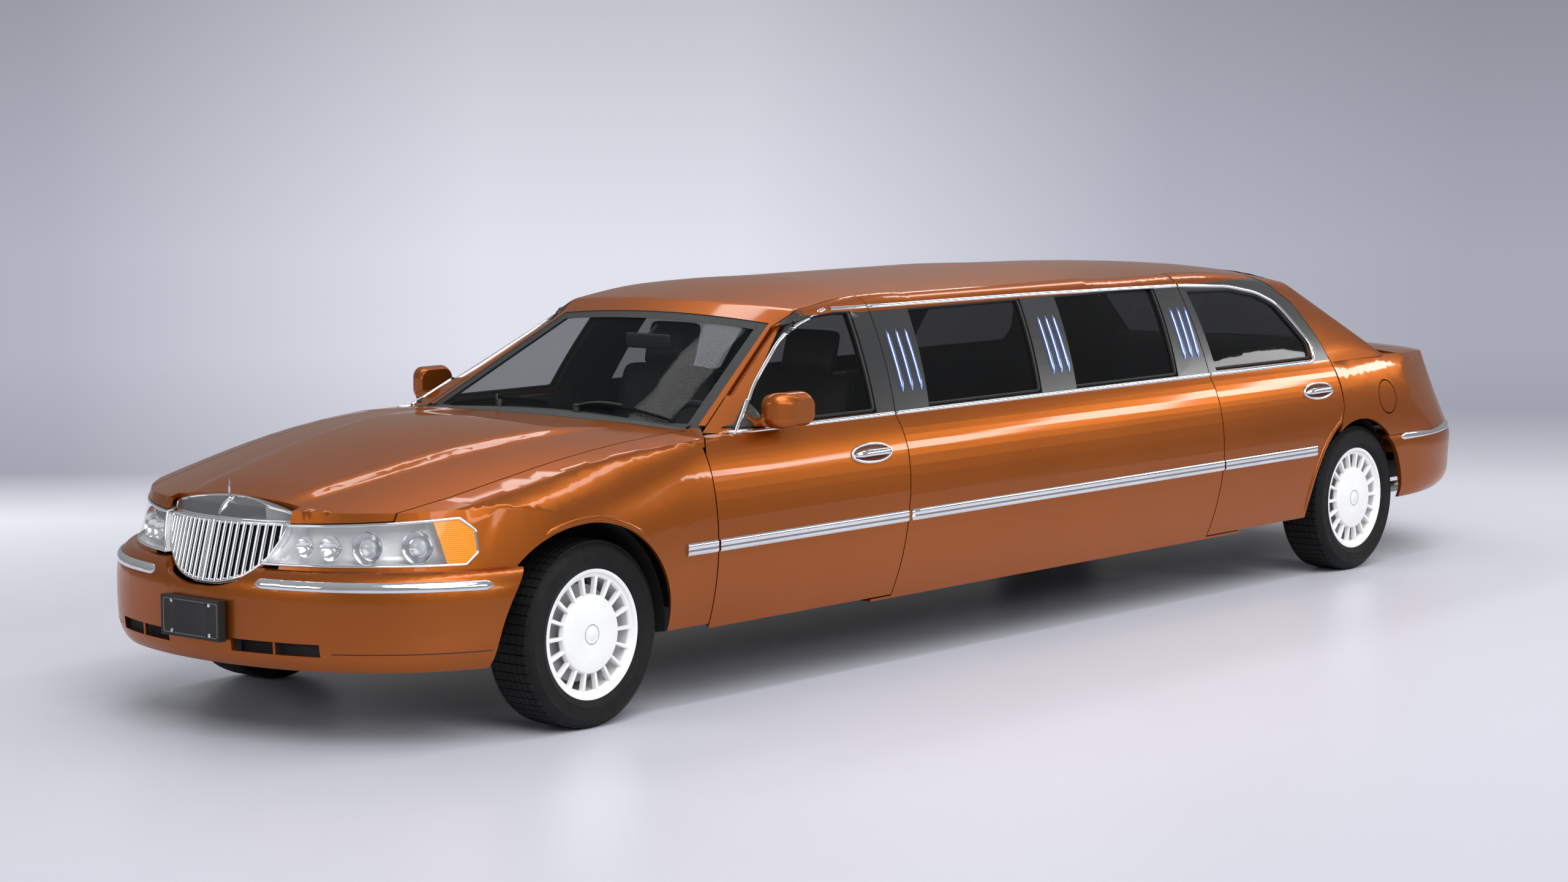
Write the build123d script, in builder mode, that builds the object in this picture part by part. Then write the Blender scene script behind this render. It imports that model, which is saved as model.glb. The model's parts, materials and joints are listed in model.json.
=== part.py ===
# Stretch limousine, millimetres. The nose points to -X, +Z is up, the driver sits on the -Y side.
# The origin is on the ground in the middle of the car's outer box.
import os
from math import asin, cos, degrees, hypot, radians, sin, sqrt, tan

from build123d import *

os.makedirs("parts", exist_ok=True)

# ---- Overall sizes ----
wheelbase = 5160
front_overhang = 1065
rear_overhang = 1425
half_width = 993
tyre_radius = 338
front_end = -(front_overhang + wheelbase + rear_overhang) / 2
rear_end = -front_end
front_axle_x = front_end + front_overhang
rear_axle_x = front_axle_x + wheelbase

# ---- Gaps and clearances ----
seam = 6  # gap between neighbouring panels
seat_gap = 0.3  # gap where one piece sits on another
far = 3000  # reach of the cutting solids

# ---- Body side section, the same along the whole cabin ----
sill_z = 272
sill_y = 930
widest_z = 620
shoulder_z = 830
shoulder_y = 968
belt_z = 985
belt_y = 900
cowl_z = 1035

# ---- Cabin walls ----
door_wall = 75
inner_wall_drop = 100  # how far the inner wall runs on below the sill
frame_wall = 40
fender_wall = 14
rail_z = 1400
rail_y = 672
roof_edge_y = 606
roof_edge_z = 1440
roof_z = 1483

# ---- Seams along the body, from the axles ----
front_door_x = front_axle_x + 597
front_door_length = 1158
rear_door_x = rear_axle_x - 1175
rear_door_length = 1005
b_pillar_width = 220
mid_pillar_width = 243
c_pillar_width = 240
cowl_plan_y = 760

# ---- Wheels ----
front_track = 1645
rear_track = 1680
tyre_width = 225
rim_radius = 236
steer_angle = 30
kingpin_inset = 20


def cyl(plane, radius, length):
    """A cylinder that starts on the plane and runs along its normal."""
    with BuildPart() as rod:
        with BuildSketch(plane):
            Circle(radius)
        extrude(amount=length)
    return rod.part


def bar(x0, x1, y0, y1, z0, z1):
    """A block between two opposite corners."""
    with BuildPart() as block:
        with BuildSketch(Plane.XY.offset(z0)):
            with Locations(((x0 + x1) / 2, (y0 + y1) / 2)):
                Rectangle(x1 - x0, y1 - y0)
        extrude(amount=z1 - z0)
    return block.part


def prism(plane, points, amount, both=False):
    """A straight-sided prism on a plane."""
    with BuildPart() as body:
        with BuildSketch(plane):
            with BuildLine():
                Polyline(*points, close=True)
            make_face()
        extrude(amount=amount, both=both)
    return body.part


def cut_corner_arc(apex, tip, steps=0.5):
    """Middle point of the arc from the apex, where it runs along local Y, to the tip."""
    inward = 1 if tip[0] > apex[0] else -1
    run, rise = abs(tip[0] - apex[0]), tip[1] - apex[1]
    radius = (run * run + rise * rise) / (2 * run)
    angle = asin(min(1, abs(rise) / radius)) * steps
    return (apex[0] + inward * radius * (1 - cos(angle)),
            apex[1] + (1 if rise > 0 else -1) * radius * sin(angle))


def arc_inset(apex, tip, z):
    """How far the arc from the apex to the tip lies inside the apex at one height."""
    run, rise = abs(tip[0] - apex[0]), abs(tip[1] - apex[1])
    radius = (run * run + rise * rise) / (2 * run)
    return radius - sqrt(radius * radius - (apex[1] - z) ** 2)


def crown_mid(tip, top):
    """Middle point of the arc from the tip to the top, where it runs level."""
    run, rise = tip[0] - top[0], top[1] - tip[1]
    radius = (run * run + rise * rise) / (2 * rise)
    angle = asin(run / radius) / 2
    return (top[0] + radius * sin(angle), top[1] - radius * (1 - cos(angle)))


def end_slope(apex, tip):
    """Direction at the tip of the arc that leaves the apex along local Y."""
    run, rise = abs(tip[0] - apex[0]), abs(tip[1] - apex[1])
    radius = (run * run + rise * rise) / (2 * run)
    angle = asin(rise / radius)
    return (-sin(angle), cos(angle))


def body_section(x, width, shoulder, crest, top, inset=0, base_drop=0):
    """Whole cross section of the lower body at one station, moved inwards by the inset."""
    sill = (sill_y - half_width + width - inset, sill_z - base_drop)
    widest = (width - inset, widest_z)
    shoulder_in = (shoulder[0] - inset, shoulder[1])
    crest_in = (crest[0] - inset, crest[1] - inset * 0.6)
    top_in = (0, top - inset)
    with BuildSketch(Plane.YZ.offset(x)) as section:
        with BuildLine():
            Line((0, sill[1]), sill)
            ThreePointArc(sill, cut_corner_arc(widest, sill), widest)
            ThreePointArc(widest, cut_corner_arc(widest, shoulder_in), shoulder_in)
            TangentArc(shoulder_in, crest_in, tangent=end_slope(widest, shoulder_in))
            ThreePointArc(crest_in, crown_mid(crest_in, top_in), top_in)
            mirror(about=Plane.YZ)
        make_face()
    return section.sketch


def plan_outline(z, tip_x, end_x, points, back):
    """Nose or tail in plan at one height: a tip arc, a corner arc and a side arc, mirrored."""
    tip = (tip_x, 0)
    side, corner = points
    heading = end_slope((0, 0), (abs(side[0] - tip_x), side[1]))
    way = 1 if end_x > tip_x else -1
    with BuildSketch(Plane.XY.offset(z)) as outline:
        with BuildLine():
            ThreePointArc(tip, cut_corner_arc(tip, side), side)
            bend = TangentArc(side, corner, tangent=(-way * heading[0], heading[1]))
            TangentArc(corner, back, tangent=bend % 1)
            Polyline(back, (end_x, back[1]), (end_x, 0))
            mirror(about=Plane.XZ)
        make_face()
    return outline.sketch


def skin(stations, inset=0, base_drop=0):
    """Body solid through a table of stations: x, width, shoulder, crest, top."""
    with BuildPart() as body:
        for x, width, shoulder, crest, top in stations:
            add(body_section(x, width, shoulder, crest, top, inset, base_drop))
        loft()
    return body.part


front_joint_x = front_door_x
rear_joint_x = rear_door_x + rear_door_length
cabin_row = (half_width, (shoulder_y, shoulder_z), (belt_y, belt_z), cowl_z)
# Offset from the front axle, width, shoulder, crest, top of the crown.
front_rows = [
    (-1100, 850, (790, 650), (630, 724), 764),
    (-850, 905, (850, 690), (700, 773), 838),
    (-550, 950, (905, 731), (780, 824), 904),
    (-150, 984, (945, 783), (835, 899), 979),
    (250, 991, (962, 815), (872, 958), 1022),
]
# Offset from the rear axle, width, shoulder, crest, top of the crown.
rear_rows = [
    (200, 992, (966, 832), (893, 988), 1040),
    (600, 980, (950, 830), (868, 980), 1030),
    (1000, 950, (915, 815), (812, 948), 995),
    (1450, 900, (855, 790), (740, 905), 950),
]
front_stations = [(front_axle_x + row[0], *row[1:]) for row in front_rows]
front_stations.append((front_joint_x, *cabin_row))
rear_stations = [(rear_joint_x, *cabin_row)]
rear_stations += [(rear_axle_x + row[0], *row[1:]) for row in rear_rows]

# ---- Nose and tail in plan ----
nose_lean = 0.36  # how far the nose moves back for each step up
plan_low_z = 150
plan_high_z = 1150
nose_ref_z = 620
# Height, tip setback, then how far back and out the tip arc and the corner arc end.
tail_rows = [
    (plan_low_z, 45, (40, 430), (300, 800)),
    (620, 45, (40, 430), (300, 800)),
    (plan_high_z, 162, (88, 382), (624, 800)),
]
tail_run = 1400
plan_edge_y = 1015


def nose_plan(inset=0):
    """Solid that rounds the body off at the nose."""
    with BuildPart() as plan:
        for z in (plan_low_z, plan_high_z):
            tip = front_end + 75 + (z - nose_ref_z) * nose_lean + inset
            add(plan_outline(z, tip, rear_end, ((tip + 75, 400 - inset), (tip + 520, 860 - inset)),
                             (tip + 1150, plan_edge_y)))
        loft(ruled=True)
    return plan.part


def tail_plan(inset=0):
    """Solid that rounds the body off at the tail."""
    with BuildPart() as plan:
        for z, setback, (side_dx, side_y), (corner_dx, corner_y) in tail_rows:
            tip = rear_end - setback - inset
            add(plan_outline(z, tip, front_end,
                             ((tip - side_dx, side_y - inset), (tip - corner_dx, corner_y - inset)),
                             (tip - tail_run, plan_edge_y)))
        loft(ruled=True)
    return plan.part


def cabin_block(inset=0, base_drop=0):
    """The part of the lower body between the front and rear joints, of one section."""
    with BuildPart() as block:
        add(body_section(front_joint_x, *cabin_row, inset, base_drop))
        extrude(amount=rear_joint_x - front_joint_x, dir=(1, 0, 0))
    return block.part


def lower_body(inset=0, base_drop=0):
    """The whole lower body from nose to tail as one solid."""
    with BuildPart() as body:
        add(skin(front_stations, inset, base_drop))
        add(cabin_block(inset, base_drop))
        add(skin(rear_stations, inset, base_drop))
        add(nose_plan(inset), mode=Mode.INTERSECT)
        add(tail_plan(inset), mode=Mode.INTERSECT)
    return body.part


# ---- Greenhouse: rail, roof edge and crown at each station ----
screen_top_x = front_axle_x + 1388
screen_top_z = 1376
screen_base_x = front_axle_x + 667
screen_base_z = 990
back_top_x = rear_axle_x - 130
back_top_z = 1400
back_base_x = rear_axle_x + 470
back_base_z = 1020
screen_bow = 5200  # radius of the windscreen across its own rake
back_bow = 4200
roof_front_x = screen_top_x + 770
roof_rear_x = rear_axle_x - 1800
side_sag = 14
# x, rail y and z, roof edge y and z, crown z
roof_front_rows = [
    (screen_base_x - 150, (640, 1290), (590, 1318), 1345),
    (screen_top_x, (642, 1348), (577, 1384), 1408),
    (screen_top_x + 330, (660, 1388), (594, 1427), 1458),
    (roof_front_x, (rail_y, rail_z), (roof_edge_y, roof_edge_z), roof_z),
]
roof_rear_rows = [
    (roof_rear_x, (rail_y, rail_z), (roof_edge_y, roof_edge_z), roof_z),
    (roof_rear_x + 700, (rail_y, rail_z - 12), (roof_edge_y, roof_edge_z - 14), roof_z - 18),
    (rear_axle_x - 500, (rail_y, rail_z - 42), (roof_edge_y, roof_edge_z - 44), roof_z - 45),
    (rear_axle_x - 50, (665, 1290), (600, 1330), 1395),
    (rear_axle_x + 650, (650, 1160), (590, 1195), 1280),
]


def cabin_section(x, rail, edge, crown, inset=0):
    """Cross section of the greenhouse at one station."""
    base = (belt_y - inset * 1.15, belt_z - (far / 10 if inset else 0))
    waist = (belt_y - inset * 1.15, belt_z)
    rail_in = (rail[0] - inset * 0.8, rail[1] - inset * 0.55)
    edge_in = (edge[0] - inset * 0.55, edge[1] - inset * 0.85)
    top_in = (0, crown - inset)
    across, up = waist[0] - rail_in[0], rail_in[1] - waist[1]
    run = hypot(across, up)
    mid = ((waist[0] + rail_in[0]) / 2 + side_sag * up / run, (waist[1] + rail_in[1]) / 2 + side_sag * across / run)
    with BuildSketch(Plane.YZ.offset(x)) as section:
        with BuildLine():
            if inset:
                Line(base, waist)
            side = ThreePointArc(waist, mid, rail_in)
            TangentArc(rail_in, edge_in, tangent=side % 1)
            ThreePointArc(edge_in, crown_mid(edge_in, top_in), top_in)
            Line((0, base[1]), base)
            mirror(about=Plane.YZ)
        make_face()
    return section.sketch


def screen_solid(top_x, top_z, base_x, base_z, bow, setback=0):
    """Everything on the cabin's side of a bowed, raked screen."""
    way = 1 if base_x < top_x else -1
    rake = Vector(top_x - base_x, 0, top_z - base_z).normalized()
    normal = Vector(-way * rake.Z, 0, way * rake.X)
    base = Vector(base_x, 0, base_z) - normal * setback
    plane = Plane(origin=base - rake * far, x_dir=Vector(0, 1, 0), z_dir=rake)
    up = 1 if plane.y_dir.dot(normal) > 0 else -1
    side_y = 1200
    drop = bow - sqrt(bow * bow - side_y * side_y)
    with BuildPart() as body:
        with BuildSketch(plane):
            with BuildLine():
                ThreePointArc((-side_y, -up * drop), (0, 0), (side_y, -up * drop))
                Polyline((side_y, -up * drop), (side_y, -up * far * 1.5), (-side_y, -up * far * 1.5), (-side_y, -up * drop))
            make_face()
        extrude(amount=2.5 * far)
    return body.part


def greenhouse(inset=0, glass_setback=0):
    """The cabin above the belt as one solid, cut back by both screens."""
    with BuildPart() as cabin:
        for x, rail, edge, crown in roof_front_rows:
            add(cabin_section(x, rail, edge, crown, inset))
        loft()
        add(cabin_section(*roof_front_rows[-1], inset))
        extrude(amount=roof_rear_x - roof_front_x, dir=(1, 0, 0))
        for x, rail, edge, crown in roof_rear_rows:
            add(cabin_section(x, rail, edge, crown, inset))
        loft()
        add(screen_solid(screen_top_x, screen_top_z, screen_base_x, screen_base_z, screen_bow, glass_setback),
            mode=Mode.INTERSECT)
        add(screen_solid(back_top_x, back_top_z, back_base_x, back_base_z, back_bow, glass_setback),
            mode=Mode.INTERSECT)
    return cabin.part


# ---- Shells that the panels are cut from ----
pillar_round_front = 110
pillar_round_rear = 100

body_outer = lower_body()
body_inner = lower_body(fender_wall, 60)
with BuildPart() as cabin_solid:
    add(greenhouse())
    corner_edges = [e for e in cabin_solid.edges()
                    if 500 < e.length < 800 and abs(e.center().Y) > 700 and 1100 < e.center().Z < 1200]
    fillet([e for e in corner_edges if e.center().X < 0], radius=pillar_round_front)
    corner_edges = [e for e in cabin_solid.edges()
                    if 500 < e.length < 800 and abs(e.center().Y) > 700 and 1100 < e.center().Z < 1200]
    fillet([e for e in corner_edges if e.center().X > 0], radius=pillar_round_rear)
cabin_outer = cabin_solid.part
screen_depth = 32
with BuildPart() as cabin_shell:
    add(cabin_outer)
    add(greenhouse(frame_wall, screen_depth), mode=Mode.SUBTRACT)
with BuildPart() as thin_shell:
    add(body_outer)
    add(body_inner, mode=Mode.SUBTRACT)
with BuildPart() as side_wall:
    add(cabin_block())
    add(cabin_block(door_wall, inner_wall_drop), mode=Mode.SUBTRACT)
    add(bar(-far, far, -belt_y + door_wall, belt_y - door_wall, sill_z - 50, cowl_z + 50), mode=Mode.SUBTRACT)
    add(bar(-far, far, -half_width - 50, half_width + 50, sill_z - 50, belt_z), mode=Mode.INTERSECT)


# ---- Seam lines seen from above, right half: x, |y| ----
hood_rear_x = screen_base_x - 122
hood_line = [
    (front_end + 330, 640), (front_end + 430, 662), (front_end + 600, 695), (front_end + 850, 722),
    (front_end + 1195, 742), (hood_rear_x + 130, 757),
]
cowl_lip_y = 500
hood_rear_line = [(hood_rear_x + 85, 600), (hood_rear_x + 25, 300), (hood_rear_x, 0)]
door_plan_line = [
    (front_joint_x, 1100), (front_joint_x, 935), (screen_base_x + 98, cowl_plan_y),
    (screen_top_x, 577), (screen_top_x + 80, 600), (rear_axle_x - 400, 600),
    (rear_axle_x + 60, 640), (rear_axle_x + 60, 1100),
]
trunk_front_x = back_base_x + 45
trunk_line = [(trunk_front_x, 0), (trunk_front_x + 8, 520), (trunk_front_x + 60, 700),
              (rear_end - 420, 604), (rear_end + 60, 500)]


def both_sides(points):
    """Mirror a half outline that starts or ends on the middle line."""
    return list(points) + [(x, -y) for x, y in reversed(points) if y]


def plan_prism(points, z0, z1, grow=0):
    """A prism that stands on the plan outline, grown or shrunk all round."""
    with BuildPart() as body:
        with BuildSketch(Plane.XY.offset(z0)):
            with BuildLine():
                Polyline(*points, close=True)
            make_face()
            if grow:
                offset(amount=grow, kind=Kind.INTERSECTION)
        extrude(amount=z1 - z0)
    return body.part


def side_prism(points, side, y0, y1, grow=0):
    """A prism across the car on one side between two distances from the middle plane."""
    with BuildPart() as body:
        with BuildSketch(Plane.XZ.offset(-side * y0)):
            with BuildLine():
                Polyline(*points, close=True)
            make_face()
            if grow:
                offset(amount=grow, kind=Kind.INTERSECTION)
        extrude(amount=-side * (y1 - y0))
    return body.part


def plug(rows, side, grow=0):
    """A door-shaped plug that narrows inwards. Rows: x and z on the skin, |y| there, narrowing."""
    near, deep = half_width + 40, 450
    with BuildPart() as body:
        for reach in (near, deep):
            with BuildSketch(Plane.XZ.offset(-side * reach)):
                with BuildLine():
                    Polyline(*[(x + taper * (reach - y), z) for x, z, y, taper in rows], close=True)
                make_face()
                if grow:
                    offset(amount=grow, kind=Kind.INTERSECTION)
        loft(ruled=True)
    return body.part


# ---- Doors ----
door_base_z = sill_z + 16
door_top_z = roof_z + 80
rear_edge_taper = 0.12
upper_taper = 0.36
front_door_rows = [
    (front_joint_x + seam / 2, door_base_z, 935, 0),
    (front_joint_x + front_door_length - 80, door_base_z, 935, rear_edge_taper),
    (front_joint_x + front_door_length - 36, widest_z, half_width, rear_edge_taper),
    (front_joint_x + front_door_length - 5, belt_z, belt_y, upper_taper),
    (front_joint_x + front_door_length + 108, rail_z, rail_y, upper_taper),
    (front_joint_x + front_door_length + 136, door_top_z, rail_y - 70, upper_taper),
    (front_joint_x + seam / 2, door_top_z, 935, 0),
]
rear_door_end = rear_door_x + rear_door_length
rear_door_rows = [
    (rear_door_x - 70, door_base_z, 935, 0),
    (rear_door_end - 235, door_base_z, 935, rear_edge_taper),
    (rear_door_end, widest_z + 160, half_width, rear_edge_taper),
    (rear_door_end, belt_z, belt_y, upper_taper),
    (rear_door_end - 20, belt_z + 120, 830, upper_taper),
    (rear_door_end - 65, belt_z + 270, 745, upper_taper),
    (rear_door_end - 160, belt_z + 355, 690, upper_taper),
    (rear_door_end - 330, rail_z + 12, 660, upper_taper),
    (rear_door_end - 370, door_top_z, 600, upper_taper),
    (rear_door_x + 78, door_top_z, 600, 0),
    (rear_door_x + 60, rail_z, rail_y, 0),
    (rear_door_x, belt_z, belt_y, 0),
    (rear_door_x - 22, widest_z, half_width, 0),
]
arch_front_dx = -55
arch_front_z = 320
arch_front_r = 427
arch_rear_dx = -32
arch_rear_z = 338
arch_rear_r = 378
arch_flange = 30

# Window holes in side view, and how far the glass sits below the skin.
front_window = [
    (front_joint_x + 388, belt_z + 18), (front_joint_x + 388, belt_z + 126),
    (front_joint_x + 425, belt_z + 148),
    (front_joint_x + 640, belt_z + 288), (front_joint_x + 775, belt_z + 352),
    (front_joint_x + 930, belt_z + 390), (front_joint_x + 1075, belt_z + 400),
    (front_joint_x + 1160, belt_z + 398), (front_joint_x + 1050, belt_z + 18),
]
rear_window_line = [
    (rear_door_x + 60, belt_z + 22), (rear_door_x + 100, belt_z + 368), (rear_door_x + 450, belt_z + 358),
    (rear_door_x + 660, belt_z + 322), (rear_door_x + 780, belt_z + 270),
    (rear_door_x + 890, belt_z + 90), (rear_door_x + 860, belt_z + 20),
]
window_top_z = belt_z + 394
window_base_z = belt_z + 18
b_seam_belt_x = front_joint_x + front_door_length
stretch_length = rear_door_x - b_seam_belt_x
window_length = (stretch_length - b_pillar_width - mid_pillar_width - c_pillar_width) / 2
pillar_lean = 0.3
glass_depth = 14
glass_thick = 5


def leaning_window(x, length):
    """Four-sided window whose ends lean back towards the top."""
    shift = pillar_lean * (window_top_z - window_base_z)
    return [(x, window_base_z), (x + length, window_base_z),
            (x + length + shift, window_top_z), (x + shift, window_top_z)]


window_one_x = b_seam_belt_x + b_pillar_width
window_two_x = window_one_x + window_length + mid_pillar_width
stretch_windows = [leaning_window(window_one_x, window_length), leaning_window(window_two_x, window_length)]

with BuildPart() as glass_layer:
    add(greenhouse(glass_depth, glass_depth))
    add(greenhouse(glass_depth + glass_thick, glass_depth + glass_thick), mode=Mode.SUBTRACT)


def arch_cutter(axle_x, dx, z, radius, side=0):
    """Round cutter of a wheel arch, through one side or both."""
    return cyl(Plane((axle_x + dx, far, z), x_dir=(1, 0, 0), z_dir=(0, -1, 0)), radius, 2 * far)


front_arch = arch_cutter(front_axle_x, arch_front_dx, arch_front_z, arch_front_r)
rear_arch = arch_cutter(rear_axle_x, arch_rear_dx, arch_rear_z, arch_rear_r)
rear_arch_wide = arch_cutter(rear_axle_x, arch_rear_dx, arch_rear_z, arch_rear_r + arch_flange)
seam_zone = plan_prism(door_plan_line, 0, far)

nodes = {}


def finish(name, builder):
    """Label a finished piece and keep it for writing."""
    builder.part.label = name
    nodes[name] = builder.part
    export_step(builder.part, f"parts/{name}.step")


def door_plan(side, grow=0):
    """The part of the plan outboard of the doors' inner seam line on one side."""
    return plan_prism([(x, side * y) for x, y in door_plan_line], 0, far, grow)


for tag, side in (("left", -1), ("right", 1)):
    with BuildPart() as door:
        add(side_wall.part)
        add(cabin_shell.part)
        add(plug(front_door_rows, side), mode=Mode.INTERSECT)
        add(door_plan(side), mode=Mode.INTERSECT)
        add(side_prism(front_window, side, 500, 1000), mode=Mode.SUBTRACT)
    finish(f"door_front_{tag}", door)
    with BuildPart() as glass:
        add(glass_layer.part)
        add(side_prism(front_window, side, 500, 1000, -seat_gap), mode=Mode.INTERSECT)
        add(door_plan(side), mode=Mode.INTERSECT)
    finish(f"door_front_{tag}_glass", glass)
    with BuildPart() as door:
        add(side_wall.part)
        add(cabin_shell.part)
        add(plug(rear_door_rows, side), mode=Mode.INTERSECT)
        add(door_plan(side), mode=Mode.INTERSECT)
        add(rear_arch_wide, mode=Mode.SUBTRACT)
        add(side_prism(rear_window_line, side, 500, 1000), mode=Mode.SUBTRACT)
    finish(f"door_rear_{tag}", door)
    with BuildPart() as glass:
        add(glass_layer.part)
        add(side_prism(rear_window_line, side, 500, 1000, -seat_gap), mode=Mode.INTERSECT)
    finish(f"door_rear_{tag}_glass", glass)


# ---- Fixed body panels ----
lamp_top_z = 764
lamp_base_z = 636
lamp_inner_y = 232
lamp_end_x = front_axle_x - 482
lamp_outer_top_z = 800
lamp_rise = 0.08  # how far the lamp's top edge climbs for each step back
lamp_depth = 70
bumper_top_z = 622
rear_bumper_top_z = 616
header_half = 326
hood_front_z = lamp_top_z + seam
hood_wall = 16
flap_radius = 78
flap_x = rear_axle_x + 230
flap_z = 800
trunk_cut_z = 706
tail_lamp_top_z = 925
tail_lamp_depth = 60
tail_lamp_inner_y = 560
tail_lamp_end_x = rear_end - 300

hood_half = [(front_end - 60, 0), (front_end - 60, 590)] + hood_line + hood_rear_line[:-1]
hood_plan = [(x, y) for x, y in hood_half + [hood_rear_line[-1]]]
hood_plan = both_sides(hood_plan)
trunk_plan = both_sides(trunk_line + [(rear_end + 60, 0)])
header_zone = bar(front_end - 100, front_end + 236, -header_half, header_half, bumper_top_z, far)

lamp_end_top_x = lamp_end_x - 45
lamp_side = [(front_end - 60, lamp_base_z), (lamp_end_top_x, lamp_base_z), (lamp_end_x, lamp_base_z + 42),
             (lamp_end_x, lamp_outer_top_z - 42), (lamp_end_top_x, lamp_outer_top_z),
             (front_end - 60, lamp_outer_top_z - (lamp_end_top_x - front_end + 60) * lamp_rise)]
tail_side = [(rear_end + 60, rear_bumper_top_z + 3), (tail_lamp_end_x, rear_bumper_top_z + 3),
             (tail_lamp_end_x - 40, tail_lamp_top_z), (rear_end + 60, tail_lamp_top_z)]


def lamp_block(points, inner_y, grow=0):
    """Both lamps' side outline, from the inner end outwards."""
    with BuildPart() as block:
        for side in (-1, 1):
            add(side_prism(points, side, inner_y - grow, half_width + 60, grow))
    return block.part


with BuildPart() as hood_skin:
    add(body_outer)
    add(lower_body(hood_wall, 60), mode=Mode.SUBTRACT)
with BuildPart() as hood:
    add(hood_skin.part)
    add(plan_prism(hood_plan, hood_front_z, far), mode=Mode.INTERSECT)
    add(header_zone, mode=Mode.SUBTRACT)
    add(lamp_block(lamp_side, lamp_inner_y, seam), mode=Mode.SUBTRACT)
finish("hood", hood)
with BuildPart() as trunk_lid:
    add(hood_skin.part)
    add(plan_prism(trunk_plan, trunk_cut_z, far), mode=Mode.INTERSECT)
finish("trunk_lid", trunk_lid)

# ---- Outline of the grille from the front ----
grille_top_z = 774
grille_base_z = 556
grille_half_top = 312
grille_half_base = 168
grille_room = 8  # gap round the grille


def shield(width):
    """Front outline of the grille, set in by a width: flat top, rounded foot."""
    half_top, half_base = grille_half_top - width, grille_half_base - width
    top, foot = grille_top_z - width * 0.6, grille_base_z + width
    with BuildPart() as body:
        with BuildSketch(Plane.YZ.offset(front_end - 100)):
            with BuildLine():
                Line((0, top), (half_top, top - 8))
                ThreePointArc((half_top, top - 8), ((half_top + half_base) / 2 + 26, (top + foot) / 2), (half_base, foot + 26))
                ThreePointArc((half_base, foot + 26), (half_base * 0.55, foot + 6), (0, foot))
                mirror(about=Plane.YZ)
            make_face()
        extrude(amount=600)
    return body.part


grille_opening = shield(-grille_room)

with BuildPart() as front_fenders:
    add(thin_shell.part)
    add(bar(front_end - 60, front_joint_x - seam / 2, -far, far, sill_z - 1, far), mode=Mode.INTERSECT)
    add(plan_prism(hood_plan, hood_front_z - seam, far, seam), mode=Mode.SUBTRACT)
    add(bar(hood_rear_x, front_joint_x, -cowl_lip_y, cowl_lip_y, belt_z, far), mode=Mode.SUBTRACT)
    add(grille_opening, mode=Mode.SUBTRACT)
    add(header_zone, mode=Mode.SUBTRACT)
    add(lamp_block(lamp_side, lamp_inner_y, 1), mode=Mode.SUBTRACT)
    add(front_arch, mode=Mode.SUBTRACT)
    add(bar(front_end - 60, front_axle_x + arch_front_dx, -far, far, 0, bumper_top_z + seat_gap), mode=Mode.SUBTRACT)
finish("front_fenders", front_fenders)

# Openings for the screens: half width at the base and at the top, measured up the rake.
screen_half_base = 742
screen_half_top = 548
back_half_base = 640
back_half_top = 520
glass_edge = 22
screen_foot_z = belt_z + 22
screen_foot_drop = 46  # glass edge above the foot of the rake


def screen_opening(top_x, top_z, base_x, base_z, half_base, half_top, top_drop, base_drop):
    """Prism through a raked screen, across the glass."""
    way = 1 if base_x < top_x else -1
    rake = Vector(top_x - base_x, 0, top_z - base_z)
    length = rake.length
    rake = rake.normalized()
    normal = Vector(-way * rake.Z, 0, way * rake.X)
    plane = Plane(origin=Vector(base_x, 0, base_z) - normal * 200, x_dir=(0, 1, 0), z_dir=normal)
    up = 1 if plane.y_dir.dot(rake) > 0 else -1
    low, high = base_drop, length - top_drop
    slope = (half_base - half_top) / length
    points = [(half_base + slope * -low, up * low), (half_top + slope * top_drop, up * high)]
    points += [(-x, y) for x, y in reversed(points)]
    return prism(plane, points, 400)


screen_args = (screen_top_x, screen_top_z, screen_base_x, screen_base_z, screen_half_base, screen_half_top)
back_args = (back_top_x, back_top_z, back_base_x, back_base_z, back_half_base, back_half_top)
screen_hole = screen_opening(*screen_args, 0, -200)
back_hole = screen_opening(*back_args, 0, -200)
screen_glass_zone = screen_opening(*screen_args, seat_gap, screen_foot_drop)
back_glass_zone = screen_opening(*back_args, seat_gap, 8)

with BuildPart() as cowl:
    add(thin_shell.part)
    add(bar(hood_rear_x - 20, screen_base_x + 130, -far, far, belt_z - 30, far), mode=Mode.INTERSECT)
    add(plan_prism(both_sides([(hood_rear_x, 0), (hood_rear_x, cowl_lip_y), (front_joint_x - seam / 2, cowl_lip_y),
                               (front_joint_x - seam / 2, 930),
                               (screen_base_x + 100, cowl_plan_y - seam), (screen_base_x + 100, 0)]), 0, far),
        mode=Mode.INTERSECT)
    add(plan_prism(hood_plan, hood_front_z, far, seam), mode=Mode.SUBTRACT)
    add(screen_opening(*screen_args, 0, screen_foot_drop - seat_gap), mode=Mode.SUBTRACT)
finish("cowl", cowl)

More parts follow.
